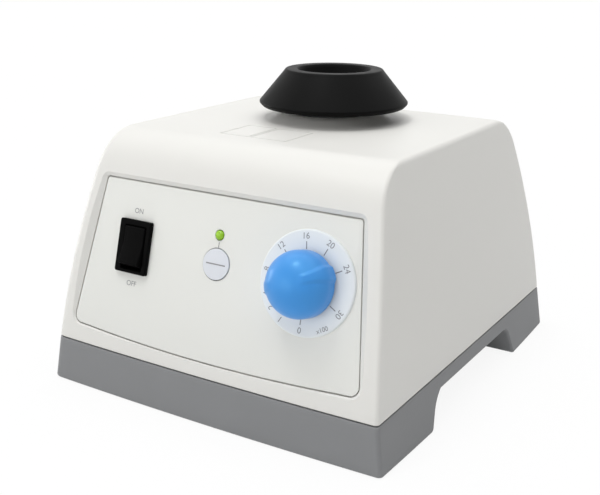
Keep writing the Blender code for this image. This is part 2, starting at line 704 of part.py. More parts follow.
def base_plinth():
    levels = [(PLINTH_LIFT, PLINTH_EDGE), (PLINTH_LIFT + PLINTH_EDGE, 0.0), ((PLINTH_LIFT + SEAM_Z) / 2, 0.0),
              (SEAM_Z - SEAM_HEIGHT, 0.0), (SEAM_Z - SEAM_HEIGHT, SEAM_DEPTH), (FLOOR_Z, SEAM_DEPTH)]
    plinth = place("base_plinth", loft([plinth_ring(z, inset) for z, inset in levels]), grey_plastic())

    foot_z = PLINTH_LIFT - ARCH_CORNER
    deeper = (ARCH_TOP_Z - foot_z) / (ARCH_TOP_Z - PLINTH_LIFT)
    arch = rounded([(ARCH_FRONT_Y - ARCH_DRAFT_FRONT * deeper, foot_z, 0),
                    (ARCH_REAR_Y + ARCH_DRAFT_REAR * deeper, foot_z, 0),
                    (ARCH_REAR_Y, ARCH_TOP_Z, ARCH_CORNER),
                    (ARCH_FRONT_Y, ARCH_TOP_Z, ARCH_CORNER)])
    boolean(plinth, place("cut_arch", prism(arch, -BASE_WIDTH, BASE_WIDTH), frame=SIDEWAYS))

    hollows = []
    for side, foot_y in ((-1, ARCH_FRONT_Y - ARCH_DRAFT_FRONT), (1, ARCH_REAR_Y + ARCH_DRAFT_REAR)):
        outer = side * (BASE_DEPTH / 2 - BAR_POCKET_WALL)
        inner = foot_y + side * BAR_POCKET_WALL
        outline = rounded_rectangle(BAR_POCKET_WIDTH, abs(outer - inner), ARCH_CORNER)
        hollows.append(shift(prism(outline, -PLINTH_LIFT, BAR_POCKET_TOP_Z), y=(outer + inner) / 2))
    boolean(plinth, place("cut_bar_hollows", merge(hollows)))

    root = FLOOR_Z - SEAM_HEIGHT
    supply_places = [(-SUPPLY_BOSS_X, SUPPLY_Y), (SUPPLY_BOSS_X, SUPPLY_Y)]
    bosses = [pegs(bolt_places(), BOLT_BOSS_RADIUS, root, FLOOR_Z + BOLT_BOSS_HEIGHT),
              pegs(supply_places, SUPPLY_BOSS_RADIUS, root, FLOOR_Z + SUPPLY_LIFT - GAP)]
    boolean(plinth, place("add_floor_bosses", merge(bosses)), 'UNION')

    bolt_end = FLOOR_Z - BOLT_ROOT - GAP
    holes = [pegs(bolt_places(), BOLT_RADIUS + GAP, bolt_end, FLOOR_Z + 2 * BOLT_BOSS_HEIGHT)]
    for u, v in CORNERS:
        bore = turned([(0, -PLINTH_LIFT), (SCREW_HEAD_RADIUS + GAP, -PLINTH_LIFT),
                       (SCREW_HEAD_RADIUS + GAP, SCREW_HEAD_Z + SCREW_HEAD + GAP),
                       (SCREW_RADIUS + GAP, SCREW_HEAD_Z + SCREW_HEAD + GAP),
                       (SCREW_RADIUS + GAP, SEAM_Z + SEAM_HEIGHT), (0, SEAM_Z + SEAM_HEIGHT)], SMALL_STEPS)
        holes.append(shift(bore, u * SCREW_X, v * SCREW_Y))
        recess = cylinder(FOOT_RADIUS + GAP, -PLINTH_LIFT, PLINTH_LIFT + FOOT_RECESS)
        holes.append(shift(recess, u * FOOT_X, v * FOOT_Y))
    boolean(plinth, place("cut_floor_holes", merge(holes)))
    return plinth


def feet_and_screws():
    edge = 0.6 * MM
    for (u, v), corner in zip(CORNERS, CORNER_NAMES):
        foot_top = PLINTH_LIFT + FOOT_RECESS - GAP
        foot = turned([(0, 0), (FOOT_RADIUS - edge, 0), (FOOT_RADIUS, edge),
                       (FOOT_RADIUS, foot_top), (0, foot_top)])
        place("foot_" + corner, foot, black_rubber(), Matrix.Translation((u * FOOT_X, v * FOOT_Y, 0)))
        head_top = SCREW_HEAD_Z + SCREW_HEAD
        tip = SEAM_Z + SCREW_BOSS_HEIGHT - 2 * PILOT_ROOF
        screw = turned([(0, SCREW_HEAD_Z), (SCREW_HEAD_RADIUS, SCREW_HEAD_Z), (SCREW_HEAD_RADIUS, head_top),
                        (SCREW_RADIUS, head_top), (SCREW_RADIUS, tip), (0, tip)], SMALL_STEPS)
        place("base_screw_" + corner, screw, steel(), Matrix.Translation((u * SCREW_X, v * SCREW_Y, 0)))


def front_panel():
    blank = prism(panel_outline(), -3 * POCKET_FLOOR, 3 * POCKET_FLOOR)
    panel = place("front_panel", blank, white_paint(), panel_base())
    sheet = place("cut_panel_sheet", bowed_slab(-PANEL_THICKNESS, 0.0), frame=panel_base())
    boolean(panel, sheet, 'INTERSECT')
    cut_panel_openings(panel)
    return panel


# Rocker switch
def rocker_switch():
    frame = panel_frame(SWITCH_X, SWITCH_S)
    bezel_top = GAP + BEZEL_THICKNESS
    body = rectangle(SWITCH_BODY_WIDTH, SWITCH_BODY_HEIGHT)
    holder = place("switch_frame", prism(body, -SWITCH_BODY_DEPTH, bezel_top / 2), black_plastic(), frame)
    rings = []
    for z, inset in ((GAP, 0.0), (bezel_top - BEZEL_CORNER, 0.0), (bezel_top, BEZEL_CORNER)):
        outline = rounded_rectangle(BEZEL_WIDTH - inset, BEZEL_HEIGHT - inset, BEZEL_CORNER)
        rings.append([(x, y, z) for x, y in outline])
    boolean(holder, place("add_bezel", loft(rings), frame=frame), 'UNION')
    well = prism(rectangle(ROCKER_WIDTH + 2 * GAP, 2 * (ROCKER_REACH + GAP)), -WELL_DEPTH, 2 * bezel_top)
    boolean(holder, place("cut_switch_well", well, frame=frame))

    pivot = frame @ Matrix.Translation((0, 0, -ROCKER_PIVOT_DEPTH))
    across = pivot @ Matrix.Rotation(pi / 2, 4, 'Y')
    pin_half = SWITCH_BODY_WIDTH / 2 - GAP
    pin_hole = ROCKER_PIN_RADIUS + GAP
    frame_hole = cylinder(pin_hole, -2 * pin_half, 2 * pin_half, SMALL_STEPS)
    boolean(holder, place("cut_pin_frame", frame_hole, frame=across))
    place("rocker_pin", cylinder(ROCKER_PIN_RADIUS, -pin_half, pin_half, SMALL_STEPS), steel(), across)

    rise = ROCKER_PIVOT_DEPTH + bezel_top - BEZEL_CORNER / 2
    radius = hypot(ROCKER_REACH, rise)
    end_angle = atan(rise / ROCKER_REACH) + ROCKER_TILT
    end = (radius * cos(end_angle), radius * sin(end_angle))
    belly = ROCKER_BELLY
    profile = [(-end[0], end[1]), (-end[0] + belly / 3, 0), (-belly, -belly), (belly, -belly),
               (end[0] - belly / 3, 0), (end[0], end[1]), (0, rise)]
    tilted = pivot @ Matrix.Rotation(-ROCKER_TILT, 4, 'X')
    blade = prism(profile, -ROCKER_WIDTH / 2, ROCKER_WIDTH / 2)
    rocker = place("switch_rocker", blade, black_plastic(), tilted @ SIDEWAYS)
    rocker_hole = cylinder(pin_hole, -pin_half, pin_half, SMALL_STEPS)
    boolean(rocker, place("cut_pin_rocker", rocker_hole, frame=across))


# Lamp, button and the board behind them
def board_screw_places():
    return [(BUTTON_X + side * BOARD_SCREW_X, BOARD_S + side * BOARD_SCREW_S) for side in (-1, 1)]


def lamp_and_button():
    tail = -BOARD_DEPTH + GAP
    dome = [(LAMP_RADIUS * cos(pi / 2 * i / 4), LAMP_DOME * sin(pi / 2 * i / 4)) for i in range(4)]
    lamp = turned([(0, tail), (LAMP_RADIUS, tail)] + dome + [(0, LAMP_DOME)], SMALL_STEPS)
    place("lamp_lens", lamp, green_lens(), panel_frame(LAMP_X, LAMP_S))

    edge = BUTTON_PROUD / 2
    button = turned([(0, -BUTTON_STEM), (BUTTON_STEM_RADIUS, -BUTTON_STEM),
                     (BUTTON_STEM_RADIUS, -PANEL_THICKNESS), (BUTTON_RADIUS, -PANEL_THICKNESS),
                     (BUTTON_RADIUS, edge), (BUTTON_RADIUS - edge, BUTTON_PROUD), (0, BUTTON_PROUD)])
    place("mode_button", button, lilac_plastic(), panel_frame(BUTTON_X, BUTTON_S))

    contact_top = -BUTTON_STEM - BUTTON_STROKE - GAP
    contact = prism(rectangle(TACT_SIZE, TACT_SIZE), -BOARD_DEPTH + GAP, contact_top)
    place("button_contact", contact, black_plastic(), panel_frame(BUTTON_X, BUTTON_S))

    board_middle = Matrix.Translation((BUTTON_X, BOARD_S, 0))
    back = -BOARD_DEPTH - BOARD_THICKNESS
    sheet = prism(rectangle(BOARD_WIDTH, BOARD_HEIGHT), back, -BOARD_DEPTH)
    board = place("control_board", sheet, board_green(), panel_base() @ board_middle)
    holes = pegs(board_screw_places(), BOARD_SCREW_RADIUS + GAP, -2 * BOARD_DEPTH, 0)
    boolean(board, place("cut_board_holes", holes, frame=panel_base()))
    head = back - GAP
    for name, (x, s) in zip(("lower", "upper"), board_screw_places()):
        screw = turned([(0, head - BOARD_SCREW_HEAD), (2 * BOARD_SCREW_RADIUS, head - BOARD_SCREW_HEAD),
                        (2 * BOARD_SCREW_RADIUS, head), (BOARD_SCREW_RADIUS, head),
                        (BOARD_SCREW_RADIUS, -PANEL_BACK - 2 * MM), (0, -PANEL_BACK - 2 * MM)], SMALL_STEPS)
        place("board_screw_" + name, screw, steel(), panel_base() @ Matrix.Translation((x, s, 0)))


# Speed control
def speed_control():
    frame = panel_frame(DIAL_X, DIAL_S)
    plate = tube(BUSHING_RADIUS + GAP, DIAL_RADIUS, GAP, DIAL_TOP, FINE_STEPS)
    place("dial_plate", plate, lilac_plastic(), frame)

    seat = -PANEL_BACK - 2 * GAP
    bore = SHAFT_RADIUS + GAP
    bore_floor = seat - POT_DEPTH / 2
    pot = turned([(0, seat - POT_DEPTH), (POT_RADIUS, seat - POT_DEPTH), (POT_RADIUS, seat),
                  (BUSHING_RADIUS, seat), (BUSHING_RADIUS, BUSHING_TOP), (bore, BUSHING_TOP),
                  (bore, bore_floor), (0, bore_floor)], SMALL_STEPS)
    place("speed_potentiometer", pot, aluminium(), frame)

    nut_low = DIAL_TOP + GAP
    corner = NUT_ACROSS / sqrt(3)
    hexagon = [(corner * cos(k * pi / 3), corner * sin(k * pi / 3)) for k in range(6)]
    nut = place("bushing_nut", prism(hexagon, nut_low, nut_low + NUT_THICKNESS), steel(), frame)
    nut_bore = cylinder(BUSHING_RADIUS + GAP, 0, 2 * BUSHING_TOP)
    boolean(nut, place("cut_nut_bore", nut_bore, frame=frame))

    place("knob_shaft", cylinder(SHAFT_RADIUS, bore_floor + GAP, SHAFT_TOP, SMALL_STEPS), steel(), frame)
    speed_knob(frame @ Matrix.Rotation(-KNOB_POINTER, 4, 'Z'), nut_low + NUT_THICKNESS)


def knob_dome():
    steps = 7
    base = KNOB_RADIUS - KNOB_DRAFT
    rise = KNOB_HEIGHT - KNOB_SKIRT
    turns = [pi / 2 * i / steps for i in range(steps)]
    arc = [(base * cos(t), KNOB_SKIRT + rise * sin(t)) for t in turns]
    return turned([(0, KNOB_LIFT), (KNOB_RADIUS, KNOB_LIFT)] + arc + [(0, KNOB_HEIGHT)], FINE_STEPS)


def speed_knob(frame, nut_top):
    """A domed knob with a pointer ridge along local y: slices of the same dome, moved out both ways."""
    knob = place("speed_knob", knob_dome(), blue_plastic(), frame)
    half = RIDGE_WIDTH / 2
    for name, way, out in (("pointer", 1, RIDGE_REACH), ("tail", -1, RIDGE_TAIL)):
        ridge = place("add_ridge_" + name, shift(knob_dome(), y=way * out), frame=frame)
        end = way * (KNOB_RADIUS + 2 * out)
        blade = loft([[(-half * w, 0, z), (half * w, 0, z), (half * w, end, z), (-half * w, end, z)]
                      for z, w in ((0.0, 1.25), (KNOB_HEIGHT + RIDGE_REACH, 0.7))])
        boolean(ridge, place("cut_ridge_" + name, blade, frame=frame), 'INTERSECT')
        boolean(knob, ridge, 'UNION')
    recess_radius = NUT_ACROSS / sqrt(3) + 2 * GAP
    bore = SHAFT_RADIUS + GAP
    ceiling = nut_top + 2 * GAP
    hollow = turned([(0, 0), (recess_radius, 0), (recess_radius, ceiling), (bore, ceiling),
                     (bore, SHAFT_TOP + GAP), (0, SHAFT_TOP + GAP)], SMALL_STEPS)
    boolean(knob, place("cut_knob_bore", hollow, frame=frame))


# Power inlet
def power_inlet():
    frame = rear_frame(INLET_Z)
    top = GAP + INLET_FLANGE
    body = prism(rectangle(INLET_BODY_WIDTH, INLET_BODY_HEIGHT), -INLET_BODY_DEPTH, top / 2)
    inlet = place("power_inlet", body, black_plastic(), frame)
    flange = prism(rounded_rectangle(INLET_FLANGE_WIDTH, INLET_FLANGE_HEIGHT, INLET_CORNER), GAP, top)
    boolean(inlet, place("add_inlet_flange", flange, frame=frame), 'UNION')
    half_w, half_h, cut = SOCKET_WIDTH / 2, SOCKET_HEIGHT / 2, SOCKET_CHAMFER
    socket = [(-half_w, -half_h), (half_w, -half_h), (half_w, half_h - cut), (half_w - cut, half_h),
              (-half_w + cut, half_h), (-half_w, half_h - cut)]
    floor = top - SOCKET_DEPTH
    boolean(inlet, place("cut_socket", prism(socket, floor, 2 * top), frame=frame))
    pins = [("line", -PIN_PITCH, 0.0), ("earth", 0.0, PIN_EARTH_RISE), ("neutral", PIN_PITCH, 0.0)]
    slot = rectangle(PIN_WIDTH + 2 * GAP, PIN_HEIGHT + 2 * GAP)
    slots = [shift(prism(slot, -2 * INLET_BODY_DEPTH, floor + MM), x, y) for _, x, y in pins]
    boolean(inlet, place("cut_pin_slots", merge(slots), frame=frame))
    for name, x, y in pins:
        blade = prism(rectangle(PIN_WIDTH, PIN_HEIGHT), -INLET_BODY_DEPTH - PIN_TAIL, floor + PIN_REACH)
        place("inlet_pin_" + name, blade, steel(), frame @ Matrix.Translation((x, y, 0)))


# Sinking carriage with the motor under it
def bolt_places():
    return [(u * BOLT_X, MOTOR_Y + v * BOLT_OFFSET_Y) for u, v in CORNERS]


def carriage():
    top = CARRIAGE_Z + CARRIAGE_THICKNESS
    outline = rounded_rectangle(CARRIAGE_WIDTH, CARRIAGE_DEPTH, CARRIAGE_CORNER)
    plate = place("motor_carriage", prism(outline, CARRIAGE_Z, top), aluminium(), drive_frame())
    low, high = CARRIAGE_Z - MM, top + MM
    bolt_holes = pegs([(u * BOLT_X, v * BOLT_OFFSET_Y) for u, v in CORNERS], BOLT_RADIUS + GAP, low, high)
    holes = merge([cylinder(2 * SHAFT_BORE_RADIUS, low, high), bolt_holes])
    boolean(plate, place("cut_carriage_holes", holes, frame=drive_frame()))

    for (x, y), corner in zip(bolt_places(), CORNER_NAMES):
        head = top + GAP
        bolt = turned([(0, FLOOR_Z - BOLT_ROOT), (BOLT_RADIUS, FLOOR_Z - BOLT_ROOT), (BOLT_RADIUS, head),
                       (BOLT_HEAD_RADIUS, head), (BOLT_HEAD_RADIUS, head + BOLT_HEAD),
                       (0, head + BOLT_HEAD)], SMALL_STEPS)
        place("shoulder_bolt_" + corner, bolt, steel(), Matrix.Translation((x, y, 0)))
        return_spring("return_spring_" + corner, x, y)

    flag = box(FLAG_WIDTH, FLAG_THICKNESS, CARRIAGE_Z - GAP - FLAG_DROP, CARRIAGE_Z - GAP)
    place("touch_flag", flag, black_plastic(), Matrix.Translation((SENSOR_X, FLAG_Y, 0)))


def return_spring(name, x, y):
    low = FLOOR_Z + BOLT_BOSS_HEIGHT + GAP + SPRING_WIRE
    high = CARRIAGE_Z - GAP - SPRING_WIRE
    points_per_turn = 8
    count = SPRING_TURNS * points_per_turn + 1
    line = bpy.data.curves.new(name, 'CURVE')
    line.dimensions = '3D'
    line.bevel_depth = SPRING_WIRE
    line.bevel_resolution = 0
    line.use_fill_caps = True
    spline = line.splines.new('POLY')
    spline.points.add(count - 1)
    for i, point in enumerate(spline.points):
        angle = 2 * pi * i / points_per_turn
        height = low + (high - low) * i / (count - 1)
        point.co = (SPRING_RADIUS * cos(angle), SPRING_RADIUS * sin(angle), height, 1)
    spring = bpy.data.objects.new(name, line)
    bpy.context.collection.objects.link(spring)
    spring.parent = ROOT
    spring.location = (x, y, 0)
    line.materials.append(steel())


def motor():
    inner = MOTOR_RADIUS - MOTOR_WALL
    shaft_hole = SHAFT_BORE_RADIUS + GAP
    roof = MOTOR_TOP_Z - MOTOR_CAP
    can = turned([(inner, MOTOR_BOTTOM_Z), (MOTOR_RADIUS, MOTOR_BOTTOM_Z), (MOTOR_RADIUS, MOTOR_TOP_Z),
                  (shaft_hole, MOTOR_TOP_Z), (shaft_hole, roof), (inner, roof)], ring=True)
    place("motor_can", can, steel(), drive_frame())
    cap_top = MOTOR_BOTTOM_Z - GAP
    cap = tube(shaft_hole, MOTOR_RADIUS, cap_top - MOTOR_CAP, cap_top)
    place("motor_end_cap", cap, black_plastic(), drive_frame())

    magnet_outer = inner - GAP
    low, high = MOTOR_BOTTOM_Z + MOTOR_CAP, roof - MOTOR_CAP
    for name, middle in (("left", pi), ("right", 0.0)):
        angles = [middle + MAGNET_SWEEP * (i / 12 - 0.5) for i in range(13)]
        outline = [(magnet_outer * cos(t), magnet_outer * sin(t)) for t in angles]
        outline += [(MAGNET_INNER * cos(t), MAGNET_INNER * sin(t)) for t in reversed(angles)]
        place("motor_magnet_" + name, prism(outline, low, high), magnet_grey(), drive_frame())


def rotor():
    shaft_low = MOTOR_BOTTOM_Z - 2 * MOTOR_CAP
    shaft_high = HUB_Z + HUB_GRIP
    shaft = cylinder(SHAFT_BORE_RADIUS, shaft_low, shaft_high, SMALL_STEPS)
    place("motor_shaft", shaft, steel(), drive_frame())
    middle = (MOTOR_BOTTOM_Z + MOTOR_TOP_Z - MOTOR_CAP) / 2
    core = tube(SHAFT_BORE_RADIUS + GAP, ROTOR_RADIUS, middle - ROTOR_LENGTH / 2, middle + ROTOR_LENGTH / 2)
    place("rotor_winding", core, copper(), drive_frame())

    hub_top = HUB_Z + HUB_HEIGHT
    hub = place("eccentric_hub", cylinder(HUB_RADIUS, HUB_Z, hub_top), steel(), drive_frame())
    angles = [-pi / 2 + COUNTERWEIGHT_SWEEP * (i / 12 - 0.5) for i in range(13)]
    lobe = [(COUNTERWEIGHT_RADIUS * cos(t), COUNTERWEIGHT_RADIUS * sin(t)) for t in angles]
    lobe += [((HUB_RADIUS - 2 * MM) * cos(t), (HUB_RADIUS - 2 * MM) * sin(t)) for t in reversed(angles)]
    lobe_low = HUB_Z + MM
    weight = prism(lobe, lobe_low, lobe_low + COUNTERWEIGHT_HEIGHT)
    boolean(hub, place("add_lobe", weight, frame=drive_frame()), 'UNION')
    pin = cylinder(BEARING_BORE - GAP, hub_top - MM, BEARING_Z + BEARING_HEIGHT, SMALL_STEPS)
    boolean(hub, place("add_eccentric_pin", pin, frame=cup_frame()), 'UNION')
    grip = cylinder(SHAFT_BORE_RADIUS + GAP, HUB_Z - MM, shaft_high + GAP, SMALL_STEPS)
    boolean(hub, place("cut_hub_bore", grip, frame=drive_frame()))
    screw_z = lobe_low + COUNTERWEIGHT_HEIGHT / 2
    inwards = drive_frame(screw_z) @ Matrix.Rotation(-pi / 2, 4, 'X')
    tapped = cylinder(SET_SCREW_RADIUS + GAP, 0, 2 * HUB_RADIUS, SMALL_STEPS)
    boolean(hub, place("cut_set_screw", tapped, frame=inwards))
    set_screw = cylinder(SET_SCREW_RADIUS, SHAFT_BORE_RADIUS + GAP, HUB_RADIUS - MM, SMALL_STEPS)
    place("hub_set_screw", set_screw, steel(), inwards)


# Orbiting head
def head():
    bearing_top = BEARING_Z + BEARING_HEIGHT
    place("orbit_bearing", tube(BEARING_BORE, BEARING_RADIUS, BEARING_Z, bearing_top), steel(), cup_frame())
    seat = BEARING_RADIUS + GAP
    flange_top = FLANGE_Z + FLANGE_THICKNESS
    spigot_top = flange_top + SPIGOT_HEIGHT
    holder = turned([(seat, BEARING_Z), (NECK_RADIUS, BEARING_Z), (NECK_RADIUS, FLANGE_Z),
                     (FLANGE_RADIUS, FLANGE_Z), (FLANGE_RADIUS, flange_top), (SPIGOT_RADIUS, flange_top),
                     (SPIGOT_RADIUS, spigot_top), (0, spigot_top), (0, bearing_top + GAP),
                     (seat, bearing_top + GAP)])
    close_ring(holder)
    place("cup_holder", holder, aluminium(), cup_frame())
    rubber_cup(flange_top + GAP, spigot_top + GAP)
    collar = tube(HEAD_HOLE_RADIUS, COLLAR_RADIUS, TOP_Z + GAP, TOP_Z + GAP + COLLAR_HEIGHT, FINE_STEPS)
    place("head_collar", collar, white_paint(), drive_frame())


def close_ring(bm):
    """Join the last turned row to the first, on a profile that touches the axis on its way."""
    open_edges = [edge for edge in bm.edges if edge.is_boundary]
    bmesh.ops.bridge_loops(bm, edges=open_edges)


def rubber_cup(flange_ceiling, spigot_ceiling):
    lip_z = CUP_TOP_Z - CUP_LIP
    shoulder_z = CUP_TOP_Z - CUP_LIP / 4
    ring_middle = (CUP_TOP_RADIUS + CUP_MOUTH_RADIUS) / 2
    profile = [
        (0, spigot_ceiling), (SPIGOT_RADIUS + GAP, spigot_ceiling), (SPIGOT_RADIUS + GAP, flange_ceiling),
        (FLANGE_RADIUS + GAP, flange_ceiling), (FLANGE_RADIUS + GAP, CUP_BOTTOM_Z),
        (CUP_RADIUS - CUP_EDGE, CUP_BOTTOM_Z), (CUP_RADIUS - CUP_EDGE / 4, (CUP_BOTTOM_Z + CUP_EDGE_Z) / 2),
        (CUP_RADIUS, CUP_EDGE_Z), (CUP_RADIUS - CUP_EDGE / 3, CUP_EDGE_Z + CUP_EDGE / 2),
        (CUP_TOP_RADIUS + CUP_LIP / 4, lip_z), (CUP_TOP_RADIUS - CUP_LIP / 2, shoulder_z),
        (ring_middle, CUP_TOP_Z), (CUP_MOUTH_RADIUS + CUP_LIP / 2, shoulder_z), (CUP_MOUTH_RADIUS, lip_z),
        (CUP_FLOOR_RADIUS + MM, CUP_FLOOR_Z + CUP_LIP), (CUP_FLOOR_RADIUS - MM, CUP_FLOOR_Z),
        (0, CUP_FLOOR_Z),
    ]
    place("rubber_cup", turned(profile, FINE_STEPS), black_rubber(), cup_frame())


# Electrics on the floor
def supply():
    board_z = FLOOR_Z + SUPPLY_LIFT
    middle = Matrix.Translation((0, SUPPLY_Y, 0))
    board = box(SUPPLY_WIDTH, SUPPLY_DEPTH, board_z, board_z + SUPPLY_THICKNESS)
    place("supply_board", board, board_green(), middle)
    top = board_z + SUPPLY_THICKNESS + GAP
    core = box(TRANSFORMER_WIDTH, TRANSFORMER_DEPTH, top, top + TRANSFORMER_HEIGHT)
    place("transformer", core, magnet_grey(), middle @ Matrix.Translation((TRANSFORMER_X, 0, 0)))
    can = cylinder(CAPACITOR_RADIUS, top, top + CAPACITOR_HEIGHT, SMALL_STEPS)
    place("supply_capacitor", can, black_plastic(), middle @ Matrix.Translation((CAPACITOR_X, 0, 0)))


def touch_sensor():
    """A slotted light gate: the flag under the carriage sinks into its slot when the cup is pressed."""
    place_there = Matrix.Translation((SENSOR_X, FLAG_Y, 0))
    slot_floor = CARRIAGE_Z - GAP - FLAG_DROP - PRESS_STROKE - 2 * GAP
    bottom = slot_floor - SENSOR_SLOT_FLOOR
    block = box(SENSOR_WIDTH, SENSOR_DEPTH, bottom, bottom + SENSOR_HEIGHT)
    gate = place("touch_sensor", block, black_plastic(), place_there)
    slot = box(2 * SENSOR_WIDTH, SENSOR_SLOT, slot_floor, slot_floor + 2 * SENSOR_HEIGHT)
    boolean(gate, place("cut_sensor_slot", slot, frame=place_there))
    post = box(SENSOR_WIDTH, SENSOR_POST, FLOOR_Z + GAP, bottom - GAP)
    place("sensor_post", post, aluminium(), place_there)


def build():
    global ROOT
    clear_scene()
    ROOT = bpy.data.objects.new("mixer", None)
    ROOT.location = (0, BODY_SHIFT_Y, 0)
    bpy.context.collection.objects.link(ROOT)
    base_plinth()
    upper_housing()
    feet_and_screws()
    front_panel()
    rocker_switch()
    lamp_and_button()
    speed_control()
    power_inlet()
    carriage()
    motor()
    rotor()
    head()
    supply()
    touch_sensor()


build()
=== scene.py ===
"""Looks of the bench-top vortex mixer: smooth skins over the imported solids, finishes, print, light, camera.

Lengths are in metres. The sizes repeat those of the solids, apart from a few small forms that are only here,
so each piece fits the node that it stands for.
"""
import json
from math import atan, copysign, cos, pi, radians, sin, sqrt, tan
import bpy
import bmesh
from mathutils import Matrix, Vector


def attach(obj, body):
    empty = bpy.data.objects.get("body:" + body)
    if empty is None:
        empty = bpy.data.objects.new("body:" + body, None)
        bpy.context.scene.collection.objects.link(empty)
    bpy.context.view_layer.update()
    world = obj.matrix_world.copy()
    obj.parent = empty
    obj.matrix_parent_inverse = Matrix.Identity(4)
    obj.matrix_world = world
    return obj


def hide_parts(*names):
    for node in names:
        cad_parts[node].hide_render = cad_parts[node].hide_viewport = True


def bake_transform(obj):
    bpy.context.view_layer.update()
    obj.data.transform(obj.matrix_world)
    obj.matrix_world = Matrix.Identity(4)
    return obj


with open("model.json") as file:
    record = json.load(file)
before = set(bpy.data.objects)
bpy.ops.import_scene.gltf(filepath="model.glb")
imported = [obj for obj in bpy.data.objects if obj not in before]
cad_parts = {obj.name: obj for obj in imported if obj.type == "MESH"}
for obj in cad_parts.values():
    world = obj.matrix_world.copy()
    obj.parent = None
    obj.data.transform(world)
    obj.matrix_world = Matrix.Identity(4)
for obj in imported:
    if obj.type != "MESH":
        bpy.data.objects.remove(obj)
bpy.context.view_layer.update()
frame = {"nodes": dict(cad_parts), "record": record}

MM = 0.001
GAP = 0.3 * MM
BODY_SHIFT_Y = 1.68 * MM

# Plinth
BASE_WIDTH = 147 * MM
BASE_DEPTH = 163.4 * MM
BASE_SIDE_BOW = 1.53 * MM  # a shade under the solids', whose flats are coarser
PLINTH_LIFT = 0.3 * MM
SKIN_LIFT = 0.05 * MM  # the rounded lower edge shows as low as the solids' sharper one
SEAM_Z = 18.1 * MM
PLINTH_DRAFT_FRONT = 1.2 * MM
PLINTH_DRAFT_SIDE = 2.6 * MM
SEAM_HEIGHT = 0.8 * MM
SEAM_LINE = 0.5 * MM  # the gap that shows; the solids' is wider
SEAM_DEPTH = 1.0 * MM
PLINTH_EDGE = 1.1 * MM
ARCH_TOP_Z = 12.2 * MM
ARCH_FRONT_Y = -31.9 * MM
ARCH_SHOULDER = (-37.0 * MM, 9.4 * MM)  # the front leg's back swings down in an arc about here
ARCH_SHOULDER_RADIUS = 14 * MM
ARCH_FRONT_FOOT = -42.3 * MM
ARCH_REAR_Y = 36 * MM
ARCH_REAR_FOOT = 39.8 * MM
ARCH_CORNER = 4 * MM
ARCH_BEND = 0.6 * MM
ARCH_EDGE = 1.2 * MM  # round of the arch's mouths
ARCH_TOE = 3 * MM
ARCH_TOE_DIP = 0.3 * MM
ARCH_TOE_RADIUS = 2.6 * MM  # round of the legs' lower edges inside the arch
LEG_POCKET_WALL = 8 * MM
LEG_POCKET_TOP_Z = 12 * MM
LEG_POCKET_WIDTH = 88 * MM

# Housing
BOW_FRONT = 1.2 * MM
BOW_SIDE = 0.1 * MM
CORNER_RADIUS = 3.5 * MM
SEEN_CORNER = 1.6 * MM  # the corner towards the camera is tighter, as its shading in the photo shows
TOP_Z = 98 * MM
FRONT_LEAN = radians(9.9)
FRONT_ARC = 461 * MM
FRONT_ROUND = 19.5 * MM
REAR_LEAN = radians(11.2)
REAR_ARC = 400 * MM
REAR_ROUND = 18.5 * MM
SIDE_LEAN = radians(4.6)
SIDE_ARC = 640 * MM
SIDE_ROUND = 2.2 * MM
FRONT_WALL = 6.5 * MM
SIDE_WALL = 3 * MM
TOP_WALL = 3 * MM
EDGE_ROUND = 0.35 * MM  # small moulded edges
SKIRT = -0.02 * MM  # shown edges go down onto the face that they sit on
SCREW_BOSS_RADIUS = 4.8 * MM
SCREW_BOSS_HEIGHT = 16 * MM
PILOT_ROOF = 2 * MM
SCREW_INSET_X = 7.4 * MM
SCREW_INSET_Y = 30.5 * MM
SCREW_RADIUS = 1.7 * MM
SCREW_HEAD_RADIUS = 3.4 * MM
SCREW_HEAD = 2.4 * MM
SCREW_HEAD_Z = 6 * MM
FOOT_RADIUS = 7 * MM
FOOT_RECESS = 2 * MM
FOOT_INSET_X = 15.5 * MM
FOOT_INSET_Y = 15.7 * MM

# Front panel
PANEL_BOTTOM_Z = 23.5 * MM
PANEL_LEAN = radians(15.2)
PANEL_HEIGHT = 60 * MM
PANEL_TOP_WIDTH = 109.8 * MM
PANEL_BOTTOM_WIDTH = 125.8 * MM
PANEL_SMILE = 2.2 * MM
PANEL_TOP_CORNER = 1.1 * MM
PANEL_BOTTOM_CORNER = 3.4 * MM
PANEL_THICKNESS = 1.2 * MM
PANEL_RECESS = 0.2 * MM
PANEL_BOW_SPAN = 63 * MM
PANEL_EDGE = 0.2 * MM
PANEL_TRIM = 0.2 * MM  # off the sheet's edge, for the dark line round it
POCKET_FLARE = 1.5
POCKET_REACH = 4 * MM
PANEL_BACK = 4.6 * MM
SERVICE_MARGIN = 5 * MM

# Controls, at (x, s) on the panel
SWITCH_X = -36.5 * MM
SWITCH_S = 35.6 * MM
BEZEL_WIDTH = 15.6 * MM
BEZEL_HEIGHT = 20 * MM
BEZEL_THICKNESS = 1.5 * MM
BEZEL_TRIM = 0.9 * MM  # the bezel's right border is narrower
BEZEL_CORNER = 0.8 * MM
SWITCH_BODY_WIDTH = 12.8 * MM
SWITCH_BODY_HEIGHT = 17.8 * MM
SWITCH_BODY_DEPTH = 14 * MM
WELL_DEPTH = 10 * MM
ROCKER_WIDTH = 9.4 * MM
ROCKER_PIVOT_DEPTH = 2.5 * MM
ROCKER_PIN_RADIUS = 0.8 * MM
ROCKER_EDGE = 0.35 * MM
ROCKER_SIDE = [  # (s, height above the panel, corner radius) in mm from the side, ON end pressed
    (-6.4, 4.2, 0.6), (-7.7, 0.5, 0.6), (-6.2, -2.5, 1), (-3, -5.5, 1), (3, -5.5, 1), (6.4, -2.5, 1),
    (7.6, 0.2, 0.6), (7.4, 2.3, 0.5), (0.3, 2.2, 20),
]
WELL_LOW_S = -8.7 * MM
